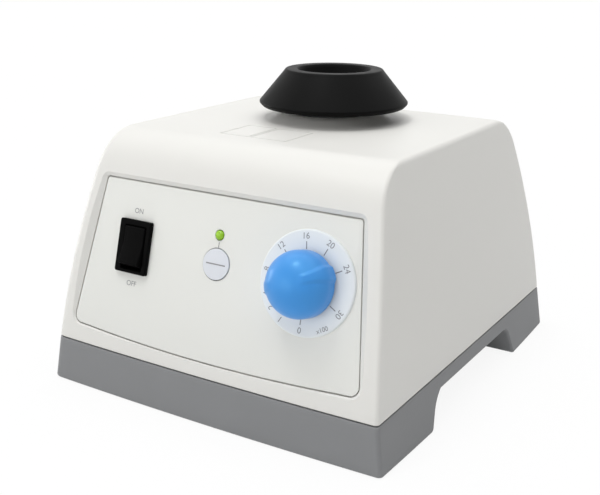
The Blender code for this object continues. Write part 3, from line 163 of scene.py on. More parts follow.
WELL_HIGH_S = 7.8 * MM
LAMP_X = 0.4 * MM
LAMP_S = 46 * MM
LAMP_RADIUS = 1.7 * MM
LAMP_DOME = 1.1 * MM
BUTTON_X = 0.6 * MM
BUTTON_S = 35.6 * MM
BUTTON_RADIUS = 5.6 * MM
BUTTON_PROUD = 0.45 * MM
BUTTON_STROKE = 0.5 * MM
BUTTON_STEM_RADIUS = 2.2 * MM
BUTTON_STEM = 6 * MM
BOARD_DEPTH = 10.4 * MM
BOARD_S = 36 * MM
BOARD_BOSS_RADIUS = 2.6 * MM
BOARD_SCREW_RADIUS = 1.0 * MM
BOARD_SCREW_X = 11 * MM
BOARD_SCREW_S = 15 * MM
DIAL_X = 37.7 * MM
DIAL_S = 35.5 * MM
DIAL_RADIUS = 18.3 * MM
DIAL_THICKNESS = 0.5 * MM
DIAL_TOP = GAP + DIAL_THICKNESS
DIAL_SHIFT = (0.25 * MM, 0.25 * MM)  # the scale shows a little off the knob's centre
KNOB_RADIUS = 11.7 * MM
KNOB_HEIGHT = 15.5 * MM
KNOB_SKIRT = 5.5 * MM
KNOB_LIFT = 1.6 * MM
KNOB_DRAFT = 0.3 * MM
KNOB_EDGE = 0.4 * MM
RIDGE_REACH = 0.7 * MM
RIDGE_TAIL = 0.45 * MM
RIDGE_TAIL_SIDE = -2.2 * MM  # the tail stands to one side of the pointer's line
RIDGE_HALF_LOW = 2.7 * MM  # half the ridge's width at the skirt
RIDGE_HALF_HIGH = 1.3 * MM  # and where it rises from the dome
RIDGE_FLANK = 0.75 * MM  # half the run of its rounded flanks
RIDGE_NOSE = 4.6 * MM  # it rises from the dome this far from the crown
RIDGE_NOSE_RUN = 1.7 * MM
KNOB_POINTER = radians(62)
SHAFT_RADIUS = 3 * MM
SHAFT_TOP = 11 * MM
BUSHING_RADIUS = 4.2 * MM
NUT_ACROSS = 11 * MM
NUT_THICKNESS = 1.8 * MM

# Print on the panel and dial
PRINT_LIFT = 0.015 * MM
PRINT_DEPTH = 0.02 * MM
SWITCH_WORDS = [("ON", -37.4 * MM, 49.0 * MM), ("OFF", -36.5 * MM, 21.8 * MM)]
SWITCH_WORD_HEIGHT = 1.9 * MM
SCALE_RADIUS = 16 * MM
SCALE_HEIGHT = 2.1 * MM
SCALE_MARKS = [("0", 180), ("1", -150), ("2", -130.6), ("4", -112.4), ("8", -81.9), ("12", -45.8),
               ("16", -8.8), ("20", 25.9), ("24", 62.6), ("30", 119.7)]
TICKED = ("0", "8", "12", "16", "20", "24", "30")
UNIT = "x100"
UNIT_PLACE = (8.4 * MM, -14.1 * MM)
UNIT_TURN = radians(28)
UNIT_HEIGHT = 1.6 * MM
TICK_START = 11.5 * MM
TICK_END = 14.1 * MM
TICK_WIDTH = 0.35 * MM
LAMP_LINE_LOW = 41.6 * MM
LAMP_LINE_HIGH = 43.5 * MM
LINE_WIDTH = 0.3 * MM
BUTTON_DASH_WIDTH = 0.45 * MM
BUTTON_DASH = 8.2 * MM

# Power inlet
INLET_Z = 40 * MM
INLET_FLANGE_WIDTH = 30 * MM
INLET_FLANGE_HEIGHT = 23 * MM
INLET_FLANGE = 2 * MM
INLET_CORNER = 2.5 * MM
INLET_BODY_WIDTH = 26.6 * MM
INLET_BODY_HEIGHT = 19.4 * MM
INLET_BODY_DEPTH = 18 * MM
SOCKET_WIDTH = 24 * MM
SOCKET_HEIGHT = 16.5 * MM
SOCKET_CHAMFER = 4 * MM
SOCKET_DEPTH = 15 * MM
SOCKET_CORNER = 1 * MM
PIN_WIDTH = 2 * MM
PIN_HEIGHT = 4 * MM
PIN_PITCH = 7 * MM
PIN_EARTH_RISE = 2 * MM

# Head
CUP_Y = 11.6 * MM
ORBIT_RADIUS = 2.25 * MM
FLANGE_Z = 103.4 * MM
FLANGE_RADIUS = 24 * MM
FLANGE_THICKNESS = 2 * MM
SPIGOT_RADIUS = 7 * MM
SPIGOT_HEIGHT = 1.5 * MM
CUP_RADIUS = 30.3 * MM
CUP_BOTTOM_Z = 103.2 * MM
CUP_EDGE_Z = 104.8 * MM
CUP_EDGE = 1.4 * MM
CUP_BRIM_RADIUS = 30.5 * MM  # the widest edge, before it is rounded
CUP_BRIM_ROUND = 0.84 * MM
CUP_SEAT_ROUND = 0.3 * MM
CUP_UNDER_ROUND = 0.5 * MM
CUP_SHOULDER_ROUND = 1.5 * MM
CUP_SOFT = 1 * MM  # round of the mouth's and the hollow's edges
CUP_TOP_Z = 118.1 * MM
CUP_TOP_RADIUS = 20.2 * MM
CUP_LIP = 1.2 * MM
CUP_MOUTH_RADIUS = 14.4 * MM
CUP_FLOOR_RADIUS = 11 * MM
CUP_FLOOR_Z = 108.6 * MM
HEAD_HOLE_RADIUS = 16.4 * MM
COLLAR_RADIUS = 27 * MM  # wider than the solid ring, so that the shade runs out smoothly
COLLAR_RIM = 3 * MM  # the rise to the hole's rim

# Floor of the housing
BOLT_X = 36 * MM
BOLT_OFFSET_Y = 24 * MM
BOLT_RADIUS = 3 * MM
BOLT_BOSS_RADIUS = 6.5 * MM
BOLT_BOSS_HEIGHT = 3.2 * MM
CARRIAGE_Z = 66 * MM
SPRING_RADIUS = 5 * MM
SPRING_WIRE = 0.65 * MM
SPRING_TURNS = 5
SPRING_STEPS = 24
BOLT_ROOT = 3 * MM
SUPPLY_INSET = 31.5 * MM
SUPPLY_LIFT = 3.4 * MM
SUPPLY_BOSS_RADIUS = 3 * MM
SUPPLY_BOSS_X = 26 * MM

# Marks scribed in the top, two bare fields side by side
FIELD_SPANS = [(-18.5 * MM, -6.1 * MM), (-4.7 * MM, 10.4 * MM)]
FIELD_FRONT_Y = -41.5 * MM
FIELD_REAR_Y = -22 * MM
SCRIBE_WIDTH = 0.35 * MM
SCRIBE_DEPTH = 0.4 * MM

# Fineness of the skins
ROUND_STEPS = 96
SMALL_STEPS = 32
SIDE_STEPS = 36
CORNER_STEPS = 8
INNER_STEPS = 8
PANEL_STRIPS = 40
WALL_STEPS = (26, 24, 8)  # up the wall, round the top's front and rear edges, round its side edges
HOLLOW_STEPS = (4, 4, 3)
LEAST_STEP = 0.03 * MM
LEAST_HOLLOW_STEP = 0.05 * MM
EDGE_STEPS = 4
FINE_STEPS = 6
PANEL_EDGE_STEPS = 3
CAP_STEPS = 5
SMILE_STEPS = 24
BUTTON_STEPS = 64
LAMP_STEPS = 48
LAMP_DOME_STEPS = 10
KNOB_STEP = 6  # degrees, and single degrees where the pointer and its tail stand
POINTER_SPAN = (-36, 37)
TAIL_SPAN = (156, 229)
DOME_STEPS = 36
CUP_STEPS = 128
COLLAR_STEPS = 12
WIRE_STEPS = 10
SHARP_ANGLE = radians(60)
SMOOTH_ANGLE = radians(35)  # an edge that is sharper shows as an edge
HOUSING_ANGLE = radians(28)
KNOB_ANGLE = radians(45)
CUP_ANGLE = radians(50)
TINY = 1e-7
CLOSE = 1e-5

# Worked out from the sizes above
BODY = Matrix.Translation((0, BODY_SHIFT_Y, 0))
SEAM_HALF_WIDTH = BASE_WIDTH / 2 - PLINTH_DRAFT_SIDE
SEAM_FRONT_Y = -BASE_DEPTH / 2 + PLINTH_DRAFT_FRONT
SEAM_REAR_Y = BASE_DEPTH / 2 - PLINTH_DRAFT_FRONT
FLOOR_Z = SEAM_Z - GAP
MOTOR_Y = CUP_Y - ORBIT_RADIUS
POCKET_FLOOR = PANEL_THICKNESS + GAP
SUPPLY_Y = SEAM_REAR_Y - SUPPLY_INSET
CORNERS = [(-1, -1), (1, -1), (-1, 1), (1, 1)]
CORNER_NAMES = ["front_left", "front_right", "rear_left", "rear_right"]
SCREW_PLACES = [(u * (SEAM_HALF_WIDTH - SCREW_INSET_X), v * (SEAM_REAR_Y - SCREW_INSET_Y))
                for u, v in CORNERS]
FOOT_PLACES = [(u * (BASE_WIDTH / 2 - FOOT_INSET_X), v * (BASE_DEPTH / 2 - FOOT_INSET_Y)) for u, v in CORNERS]
BOLT_PLACES = [(u * BOLT_X, MOTOR_Y + v * BOLT_OFFSET_Y) for u, v in CORNERS]
BOARD_SCREWS = [(BUTTON_X + side * BOARD_SCREW_X, BOARD_S + side * BOARD_SCREW_S) for side in (-1, 1)]
SIDEWAYS = Matrix(((0, 0, 1, 0), (1, 0, 0, 0), (0, 1, 0, 0), (0, 0, 0, 1)))
ROCKER_AXIS = Matrix.Translation((0, 0, -ROCKER_PIVOT_DEPTH)) @ Matrix.Rotation(pi / 2, 4, 'Y')

# Camera, solved from the photograph
CAMERA_AZIMUTH = radians(31.43)
CAMERA_ELEVATION = radians(17.614)
CAMERA_ROLL = radians(0.587)
CAMERA_PLACE = Vector((0.194047, -0.331073 + BODY_SHIFT_Y, 0.166828))
CAMERA_LENS = 57.83
CAMERA_SENSOR = 36

# Floor, light and finishes
FLOOR_SIZE = 4.0
FLOOR_TONE = 0.9
FLOOR_GLOW = 0.9  # share of plain white in what the camera sees of the floor
SKY_LIGHT = 0.02
LAMPS = [  # name, direction that it comes from, strength, spread in degrees
    ("overhead", (0, 0.2, 1), 2.3, 95),
    ("front_high", (0.24, -0.39, 0.89), 0.15, 25),
    ("upper_left", (-0.2, -0.2, 0.96), 0.65, 13),
    ("front_left", (-0.42, -0.9, 0.1), 0.55, 40),
    ("front_mid", (-0.1, -0.85, 0.5), 0.46, 60),
    ("left_mid", (-0.9, -0.3, 0.3), 0.5, 60),
    ("right_mid", (0.95, -0.1, 0.3), 0.13, 60),
    ("front_spot", (-0.42, -0.9, -0.05), 0.26, 7),
    ("right_spot", (0.98, -0.13, 0.03), 0.06, 10),
    ("left_rim", (-0.98, 0.1, 0.05), 0.3, 14),
]
DRIFT_SPAN = (0.3, 0.7)  # part of the noise's range that a finish drifts over
DRIFT_DETAIL = 3.0
GRAIN_DETAIL = 2.0
LOOKS = {}  # each slot's finish


# Mesh helpers
def quarter(steps):
    return [pi / 2 * i / steps for i in range(steps + 1)]


def round_off(width, steps):
    """Steps round an edge: how far each lies past the start of the round, and short of its end."""
    return [(width * (1 - cos(t)), width * (1 - sin(t))) for t in quarter(steps)]


def at(x, y, z=0.0):
    return Matrix.Translation((x, y, z))


def loft(rings, joined=False):
    """Skin a row of closed rings with equal numbers of points, and cap both ends or join them up."""
    bm = bmesh.new()
    rows = [[bm.verts.new(point) for point in ring] for ring in rings]
    count = len(rings[0])
    for low, high in zip(rows, rows[1:] + rows[:1] if joined else rows[1:]):
        for i in range(count):
            j = (i + 1) % count
            bm.faces.new((low[i], low[j], high[j], high[i]))
    if not joined:
        bm.faces.new(rows[0][::-1])
        bm.faces.new(rows[-1])
    return bm


def prism(outline, bottom, top):
    return loft([[(x, y, z) for x, y in outline] for z in (bottom, top)])


def turned(profile, steps=ROUND_STEPS, ring=False):
    """Turn a profile of (radius, height) points round Z; a ring profile closes on itself off the axis."""
    bm = bmesh.new()
    rows = []
    angles = [2 * pi * (i + 0.5) / steps for i in range(steps)]
    for radius, height in profile:
        around = angles if radius > TINY else angles[:1]
        rows.append([bm.verts.new((radius * cos(t), radius * sin(t), height)) for t in around])
    for low, high in zip(rows, rows[1:] + rows[:1] if ring else rows[1:]):
        for i in range(steps):
            j = (i + 1) % steps
            corner = [low[i % len(low)], low[j % len(low)], high[j % len(high)], high[i % len(high)]]
            face = list(dict.fromkeys(corner))
            if len(face) > 2:
                bm.faces.new(face)
    return bm


def cylinder(radius, bottom, top, steps=SMALL_STEPS):
    return turned([(0, bottom), (radius, bottom), (radius, top), (0, top)], steps)


def rounded(corners, steps=CORNER_STEPS, closed=True):
    """Round the corners of a line or outline given as (x, y, radius)."""
    outline = []
    last = len(corners) - 1
    for i, (x, y, radius) in enumerate(corners):
        here = Vector((x, y))
        if radius <= 0 or (not closed and i in (0, last)):
            outline.append((x, y))
            continue
        before = (Vector(corners[i - 1][:2]) - here).normalized()
        after = (Vector(corners[(i + 1) % len(corners)][:2]) - here).normalized()
        half = before.angle(after) / 2
        centre = here + (before + after).normalized() * (radius / sin(half))
        start = here + before * (radius / tan(half)) - centre
        turn = start.angle_signed(here + after * (radius / tan(half)) - centre)
        for k in range(steps + 1):
            outline.append(tuple(centre + Matrix.Rotation(-turn * k / steps, 2) @ start))
    return outline


def rectangle(width, height):
    x, y = width / 2, height / 2
    return [(-x, -y), (x, -y), (x, y), (-x, y)]


def rounded_rectangle(width, height, radius):
    return rounded([(x, y, radius) for x, y in rectangle(width, height)])


def merge(parts):
    """Put several separate bmeshes into one."""
    whole = bmesh.new()
    for part in parts:
        mesh = bpy.data.meshes.new("part")
        part.to_mesh(mesh)
        part.free()
        whole.from_mesh(mesh)
        bpy.data.meshes.remove(mesh)
    return whole


def shift(bm, x=0.0, y=0.0):
    bmesh.ops.translate(bm, verts=bm.verts, vec=(x, y, 0))
    return bm


def placed(bm, matrix):
    bm.transform(matrix)
    return bm


def pegs(places, radius, bottom, top):
    return merge([shift(cylinder(radius, bottom, top), x, y) for x, y in places])


def added(name, data):
    made = bpy.data.objects.new(name, data)
    bpy.context.collection.objects.link(made)
    return made


def helper(name, bm):
    """A bare object from a bmesh."""
    bmesh.ops.recalc_face_normals(bm, faces=bm.faces)
    mesh = bpy.data.meshes.new(name)
    bm.to_mesh(mesh)
    bm.free()
    return added(name, mesh)


def discard(made):
    data = made.data
    bpy.data.objects.remove(made, do_unlink=True)
    store = bpy.data.meshes if isinstance(data, bpy.types.Mesh) else bpy.data.curves
    store.remove(data)


def carved(bm, steps):
    """Apply Boolean steps, each an (operation, bmesh) pair, and give back the result."""
    base = helper("carve_base", bm)
    tools = []
    for operation, tool_bm in steps:
        tool = helper("carve_tool", tool_bm)
        step = base.modifiers.new("step", 'BOOLEAN')
        step.operation = operation
        step.solver = 'EXACT'
        step.object = tool
        tools.append(tool)
    bpy.context.view_layer.update()
    result = bmesh.new()
    result.from_object(base, bpy.context.evaluated_depsgraph_get())
    for made in [base] + tools:
        discard(made)
    return result


def soften(bm, width, segments, where=None):
    """Round the sharp edges, in one region or all over."""
    bm.normal_update()
    sharp = [edge for edge in bm.edges
             if len(edge.link_faces) == 2 and edge.calc_face_angle(0.0) > SHARP_ANGLE]
    if where:
        sharp = [edge for edge in sharp if where((edge.verts[0].co + edge.verts[1].co) / 2)]
    bmesh.ops.bevel(bm, geom=sharp, offset=width, segments=segments, profile=0.5, affect='EDGES',
                    clamp_overlap=True)
    return bm


def shown(name, bm, finish, place, angle=SMOOTH_ANGLE):
    """A shown mesh, set in the body's frame and shaded smooth."""
    made = helper(name, placed(bm, BODY @ place))
    made.data.shade_smooth()
    made.data.set_sharp_from_angle(angle=angle)
    made.data.materials.append(finish)
    return made


def piece(name, bm, body, slot, stands_for=(), place=Matrix(), angle=SMOOTH_ANGLE, surface=None):
    """A shown piece that rides on a body and stands for CAD nodes, in its slot's finish or another."""
    made = shown(name, bm, LOOKS[surface or slot], place, angle)
    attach(made, body)
    if stands_for:
        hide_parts(*stands_for)
    return made


# The body's skin, by the same rules as the solids
def wall_inset(z, lean, arc, top_round, top_z):
    """How far a wall has come in from the seam at height z: an arc, then a round tangent to the top."""
    arc_out = -arc * cos(lean)
    arc_z = SEAM_Z - arc * sin(lean)
    round_z = top_z - top_round
    round_out = arc_out + sqrt((arc - top_round) ** 2 - (round_z - arc_z) ** 2)
    meet_z = arc_z + arc * (round_z - arc_z) / (arc - top_round)
    if z <= meet_z:
        return -(arc_out + sqrt(arc ** 2 - (z - arc_z) ** 2))
    return -(round_out + sqrt(max(top_round ** 2 - (z - round_z) ** 2, 0.0)))


def body_ring(z, half_width, front_y, rear_y, front_bow, side_bow, side_steps, corner_steps):
    """A closed outline at one height: four swelling sides and four round corners."""
    outward = [Vector((0, -1)), Vector((1, 0)), Vector((0, 1)), Vector((-1, 0))]
    places = [(half_width, front_y), (half_width, rear_y), (-half_width, rear_y), (-half_width, front_y)]
    radii = [SEEN_CORNER, CORNER_RADIUS, CORNER_RADIUS, CORNER_RADIUS]
    middles = [Vector(places[i]) - radii[i] * (outward[i] + outward[(i + 1) % 4]) for i in range(4)]
    ring = []
    for i in range(4):
        start = middles[i - 1] + radii[i - 1] * outward[i]
        end = middles[i] + radii[i] * outward[i]
        bow = side_bow if i % 2 else front_bow
        for k in range(side_steps + 1):
            u = k / side_steps
            ring.append(start.lerp(end, u) + outward[i] * bow * 4 * u * (1 - u))
        for k in range(1, corner_steps):
            angle = (i - 1 + k / corner_steps) * pi / 2
            ring.append(middles[i] + radii[i] * Vector((cos(angle), sin(angle))))
    return [(x, y, z) for x, y in ring]


def housing_ring(z, wall=0.0, front_wall=0.0, top_wall=0.0, steps=(SIDE_STEPS, CORNER_STEPS)):
    """The housing's outline at height z, or its hollow's where walls are given."""
    top_z = TOP_Z - top_wall
    side = wall + wall_inset(z, SIDE_LEAN, SIDE_ARC, SIDE_ROUND, top_z)
    front = front_wall + wall_inset(z, FRONT_LEAN, FRONT_ARC, FRONT_ROUND - top_wall, top_z)
    rear = wall + wall_inset(z, REAR_LEAN, REAR_ARC, REAR_ROUND - top_wall, top_z)
    return body_ring(z, SEAM_HALF_WIDTH - side, SEAM_FRONT_Y + front, SEAM_REAR_Y - rear,
                     BOW_FRONT, BOW_SIDE, *steps)


def wall_heights(bottom, top_z, top_round, steps, least):
    """Heights for the loft: even up the wall, then by equal angles round the top edges."""
    wall_steps, round_steps, edge_steps = steps
    start = top_z - top_round
    heights = [bottom + (start - bottom) * i / wall_steps for i in range(wall_steps + 1)]
    heights += [start + top_round * sin(t) for t in quarter(round_steps)[1:]]
    heights += [top_z - SIDE_ROUND * (1 - sin(t)) for t in quarter(edge_steps)[:-1]]
    heights.sort()
    kept = heights[:1]
    for z in heights[1:]:
        if z - kept[-1] > least:
            kept.append(z)
    kept[-1] = top_z
    return kept


def front_surface_y(z):
    return SEAM_FRONT_Y + wall_inset(z, FRONT_LEAN, FRONT_ARC, FRONT_ROUND, TOP_Z) - BOW_FRONT


def plinth_reach(z):
    """Half the plinth's width and depth at height z, and how far its sides swell."""
    rise = (z - PLINTH_LIFT) / (SEAM_Z - PLINTH_LIFT)
    return (BASE_WIDTH / 2 - PLINTH_DRAFT_SIDE * rise, BASE_DEPTH / 2 - PLINTH_DRAFT_FRONT * rise,
            BASE_SIDE_BOW + (BOW_SIDE - BASE_SIDE_BOW) * rise)


def plinth_ring(z, inset=0.0):
    half_width, half_depth, bow = plinth_reach(z)
    return body_ring(z, half_width - inset, inset - half_depth, half_depth - inset, BOW_FRONT, bow,
                     SIDE_STEPS, CORNER_STEPS)


# Local frames on the front panel and on the rear wall: x across, y up the slope, z outwards
def panel_drop(x):
    return BOW_FRONT * (x / PANEL_BOW_SPAN) ** 2


def panel_base():
    y = front_surface_y(PANEL_BOTTOM_Z) + PANEL_RECESS
    return at(0, y, PANEL_BOTTOM_Z) @ Matrix.Rotation(pi / 2 - PANEL_LEAN, 4, 'X')


def panel_frame(x, s):
    """A frame on the panel's face at (x, s), square to the face there."""
    tilt = atan(2 * BOW_FRONT * x / PANEL_BOW_SPAN ** 2)
    return panel_base() @ at(x, s, -panel_drop(x)) @ Matrix.Rotation(tilt, 4, 'Y')


def rear_frame(z):
    inset = wall_inset(z, REAR_LEAN, REAR_ARC, REAR_ROUND, TOP_Z)
    lean = REAR_LEAN + (z - SEAM_Z) / REAR_ARC
    place_there = at(0, SEAM_REAR_Y - inset + BOW_FRONT, z)
    return place_there @ Matrix.Rotation(pi, 4, 'Z') @ Matrix.Rotation(pi / 2 - lean, 4, 'X')


def panel_outline(grow):
    """The panel's outline in its own plane, grown outwards by an amount."""
    slant = atan((PANEL_BOTTOM_WIDTH - PANEL_TOP_WIDTH) / 2 / PANEL_HEIGHT)
    widen = grow / cos(slant)
    top = PANEL_HEIGHT + grow
    half_top = PANEL_TOP_WIDTH / 2 + widen - grow * tan(slant)
    half_low = PANEL_BOTTOM_WIDTH / 2 + widen
    low_corner = PANEL_BOTTOM_CORNER + grow
    reach = half_low - low_corner
    corners = [(-half_low, PANEL_SMILE - grow, low_corner)]
    for i in range(1, SMILE_STEPS):
        u = 2 * i / SMILE_STEPS - 1
        corners.append((u * reach, PANEL_SMILE * u * u - grow, 0))
    corners += [(half_low, PANEL_SMILE - grow, low_corner), (half_top, top, PANEL_TOP_CORNER + grow),
                (-half_top, top, PANEL_TOP_CORNER + grow)]
    return rounded(corners)


def bent(bm):
    """Cut a flat blank into strips across x and bend it to the panel's swell."""
    half = PANEL_BOTTOM_WIDTH / 2 + POCKET_REACH * POCKET_FLARE
    for i in range(1, PANEL_STRIPS):
        x = half * (2 * i / PANEL_STRIPS - 1)
        everything = bm.verts[:] + bm.edges[:] + bm.faces[:]
        bmesh.ops.bisect_plane(bm, geom=everything, dist=TINY, plane_co=(x, 0, 0), plane_no=(1, 0, 0))
    for vert in bm.verts:
        vert.co.z -= panel_drop(vert.co.x)
    return bm


def panel_openings():
    """Openings for the controls, through the panel and the wall behind it."""
    reach = 3 * PANEL_BACK
    switch = prism(rectangle(SWITCH_BODY_WIDTH + 2 * GAP, SWITCH_BODY_HEIGHT + 2 * GAP), -reach, reach)
    lamp = cylinder(LAMP_RADIUS + GAP, -reach, reach)
    seat = -PANEL_THICKNESS - BUTTON_STROKE - 2 * GAP
    stem = BUTTON_STEM_RADIUS + GAP
    rim = BUTTON_RADIUS + GAP
    button = turned([(0, -reach), (stem, -reach), (stem, seat), (rim, seat), (rim, reach), (0, reach)],
                    BUTTON_STEPS)
    bushing = cylinder(BUSHING_RADIUS + GAP, -reach, reach)
    cutters = ((switch, SWITCH_X, SWITCH_S), (lamp, LAMP_X, LAMP_S), (button, BUTTON_X, BUTTON_S),
               (bushing, DIAL_X, DIAL_S))
    return merge([placed(cutter, panel_frame(x, s)) for cutter, x, s in cutters])


# Finishes
def shader_of(name):
    made = bpy.data.materials.new(name)
    made.use_nodes = True
    return made, made.node_tree, made.node_tree.nodes["Principled BSDF"]


def node(tree, kind, values=()):
    """A new shader node, with some of its inputs set."""
    made = tree.nodes.new("ShaderNode" + kind)
    for socket, value in values:
        made.inputs[socket].default_value = value
    return made


def noise(tree, size, detail, stretch):
    """Noise on the piece's own coordinates, with features of about the given size."""
    coordinates = node(tree, "TexCoord")
    scaled = node(tree, "Mapping", [("Scale", stretch)])
    made = node(tree, "TexNoise", [("Scale", 1 / size), ("Detail", detail)])
    tree.links.new(coordinates.outputs["Object"], scaled.inputs["Vector"])
    tree.links.new(scaled.outputs["Vector"], made.inputs["Vector"])
    return made.outputs["Fac"]


def finish(name, colour, roughness, metallic=0.0, mottle=0.03, mottle_size=14, swing=0.04, grain=0.6,
           grain_depth=0.004, stretch=(1, 1, 1), sockets=()):
    """A surface with a slow drift of tone and gloss, and a fine grain in relief; its sizes are in mm."""
    made, tree, shader = shader_of(name)
    for socket, value in [("Metallic", metallic), *sockets]:
        shader.inputs[socket].default_value = value
    drift = noise(tree, mottle_size * MM, DRIFT_DETAIL, stretch)
    ramp = node(tree, "ValToRGB")
    for stop, place, factor in zip(ramp.color_ramp.elements, DRIFT_SPAN, (1 - mottle, 1 + mottle)):
        stop.position = place
        stop.color = (*(min(part * factor, 1.0) for part in colour), 1)
    tree.links.new(drift, ramp.inputs["Fac"])
    tree.links.new(ramp.outputs["Color"], shader.inputs["Base Color"])
    gloss = node(tree, "MapRange", [("From Min", DRIFT_SPAN[0]), ("From Max", DRIFT_SPAN[1]),
                                    ("To Min", roughness - swing), ("To Max", roughness + swing)])
    tree.links.new(drift, gloss.inputs["Value"])
    tree.links.new(gloss.outputs["Result"], shader.inputs["Roughness"])
    relief = node(tree, "Bump", [("Strength", 1.0), ("Distance", grain_depth * MM)])
    tree.links.new(noise(tree, grain * MM, GRAIN_DETAIL, stretch), relief.inputs["Height"])
    tree.links.new(relief.outputs["Normal"], shader.inputs["Normal"])
    LOOKS[name] = made


def make_finishes():
    """One finish for each of the record's material slots, and the print."""
    brushed = (1, 1, 0.08)
    dull = ("Specular IOR Level", 0.045)
    matt = ("Specular IOR Level", 0.02)
    bluish = ("Specular Tint", (0.4, 0.85, 1, 1))
    finish("housing_paint", (0.72, 0.714, 0.683), 0.42, mottle=0.008, mottle_size=40, grain=0.9,
           grain_depth=0.006)
    finish("panel_paint", (0.742, 0.747, 0.713), 0.45, mottle=0.006, mottle_size=30, grain=0.35,
           grain_depth=0.002)
    finish("plinth_plastic", (0.208, 0.212, 0.218), 0.55, mottle=0.03, mottle_size=20, grain=0.3,
           grain_depth=0.02)
    finish("dial_plastic", (0.745, 0.78, 0.8), 0.4, mottle=0.008, grain=0.3, grain_depth=0.002)
    finish("button_plastic", (0.67, 0.693, 0.737), 0.4, mottle=0.008, grain=0.3, grain_depth=0.002)
    finish("knob_plastic", (0.056, 0.275, 0.7), 0.3, mottle=0.012, mottle_size=8, swing=0.02, grain=0.25,
           grain_depth=0.001, sockets=[bluish])
    finish("lamp_lens", (0.28, 0.55, 0.008), 0.2, mottle=0.02, mottle_size=1.5, grain=0.4,
           grain_depth=0.002)
    finish("switch_plastic", (0.003, 0.003, 0.003), 0.5, mottle=0.1, mottle_size=6, grain=0.2,
           grain_depth=0.003, sockets=[matt])
    finish("inlet_plastic", (0.015, 0.015, 0.016), 0.42, mottle=0.1, mottle_size=6, grain=0.25,
           grain_depth=0.008)
    finish("cup_rubber", (0.004, 0.004, 0.004), 0.42, mottle=0.1, mottle_size=8, grain=0.35,
           grain_depth=0.006, sockets=[dull])
    finish("foot_rubber", (0.02, 0.02, 0.02), 0.7, mottle=0.1, grain=0.4, grain_depth=0.02, sockets=[dull])
    finish("small_steel", (0.55, 0.55, 0.56), 0.3, 1.0, grain=0.2)
    finish("spring_steel", (0.5, 0.5, 0.52), 0.28, 1.0, grain=0.2, stretch=brushed)
    finish("pin_brass", (0.72, 0.66, 0.5), 0.25, 1.0, grain=0.2, stretch=brushed)
    finish("control_metal", (0.6, 0.6, 0.61), 0.35, 1.0, grain=0.2, stretch=brushed)
    # painted shade: the holder's aluminium is dulled to a mid grey, the tone of the shade under the cup where
    # its neck shows
    finish("carriage_aluminium", (0.33, 0.33, 0.34), 0.6, 0.5, grain=0.5)
    finish("motor_steel", (0.5, 0.5, 0.51), 0.35, 1.0, grain=0.3, stretch=brushed)
    finish("inner_plastic", (0.02, 0.02, 0.022), 0.5, mottle=0.1, grain=0.3)
    finish("magnet_ferrite", (0.07, 0.07, 0.075), 0.55, 0.3, grain=0.3, grain_depth=0.02)
    finish("winding_copper", (0.6, 0.25, 0.1), 0.35, 1.0, grain=0.5, grain_depth=0.1, stretch=brushed)
    finish("board_laminate", (0.02, 0.16, 0.06), 0.5, mottle=0.1, grain=0.4)
    finish("print", (0.25, 0.25, 0.26), 0.6, mottle=0.05, mottle_size=2, grain=0.2)


# Shell and plinth
def housing_skin():
    lip = [housing_ring(SEAM_Z + rise, inset, inset)
           for rise, inset in round_off(EDGE_ROUND, EDGE_STEPS)[:-1]]
    heights = wall_heights(SEAM_Z + EDGE_ROUND, TOP_Z, FRONT_ROUND, WALL_STEPS, LEAST_STEP)
    return loft(lip + [housing_ring(z) for z in heights])


def housing_hollow():
    low, steps = SEAM_Z - 2 * SEAM_HEIGHT, (INNER_STEPS, INNER_STEPS // 2)
    heights = wall_heights(low, TOP_Z - TOP_WALL, FRONT_ROUND - TOP_WALL, HOLLOW_STEPS, LEAST_HOLLOW_STEP)
    return loft([housing_ring(z, SIDE_WALL, FRONT_WALL, TOP_WALL, steps) for z in heights])


def housing():
    service = placed(prism(panel_outline(-SERVICE_MARGIN), -3 * PANEL_BACK, -PANEL_BACK), panel_base())
    boss_top = SEAM_Z + SCREW_BOSS_HEIGHT
    bosses = pegs(SCREW_PLACES, SCREW_BOSS_RADIUS, SEAM_Z, boss_top)
    board_bosses = pegs(BOARD_SCREWS, BOARD_BOSS_RADIUS, -BOARD_DEPTH + GAP, -PANEL_BACK + MM)
    board_pilots = pegs(BOARD_SCREWS, BOARD_SCREW_RADIUS + GAP, -2 * BOARD_DEPTH, -PANEL_BACK - MM)
    pilots = pegs(SCREW_PLACES, SCREW_RADIUS + GAP, SEAM_Z - SEAM_HEIGHT, boss_top - PILOT_ROOF)
    head_hole = cylinder(HEAD_HOLE_RADIUS, TOP_Z - 3 * TOP_WALL, TOP_Z + TOP_WALL, ROUND_STEPS)
    opening = rectangle(INLET_BODY_WIDTH + 2 * GAP, INLET_BODY_HEIGHT + 2 * GAP)
    inlet = placed(prism(opening, -INLET_BODY_DEPTH, INLET_FLANGE), rear_frame(INLET_Z))
    holes = [pilots, placed(board_pilots, panel_base()), placed(head_hole, at(0, MOTOR_Y)), inlet]
    shell = carved(housing_skin(), [
        ('DIFFERENCE', housing_hollow()),
        ('DIFFERENCE', service),
        ('UNION', merge([bosses, placed(board_bosses, panel_base())])),
        ('DIFFERENCE', panel_pocket()),
        ('DIFFERENCE', panel_openings()),
        ('DIFFERENCE', merge(holes + scribed_lines())),
    ])
    piece("housing_shell", shell, "chassis", "housing_paint", ["upper_housing"], angle=HOUSING_ANGLE)


def panel_pocket():
    """The recess for the panel: straight beside its edge, then flaring out to the surface."""
    rings = []
    for height, grow in ((-POCKET_FLOOR, GAP), (0.0, GAP), (POCKET_REACH, GAP + POCKET_REACH * POCKET_FLARE)):
        rings.append([(x, s, height) for x, s in panel_outline(grow)])
    return placed(bent(loft(rings)), panel_base())


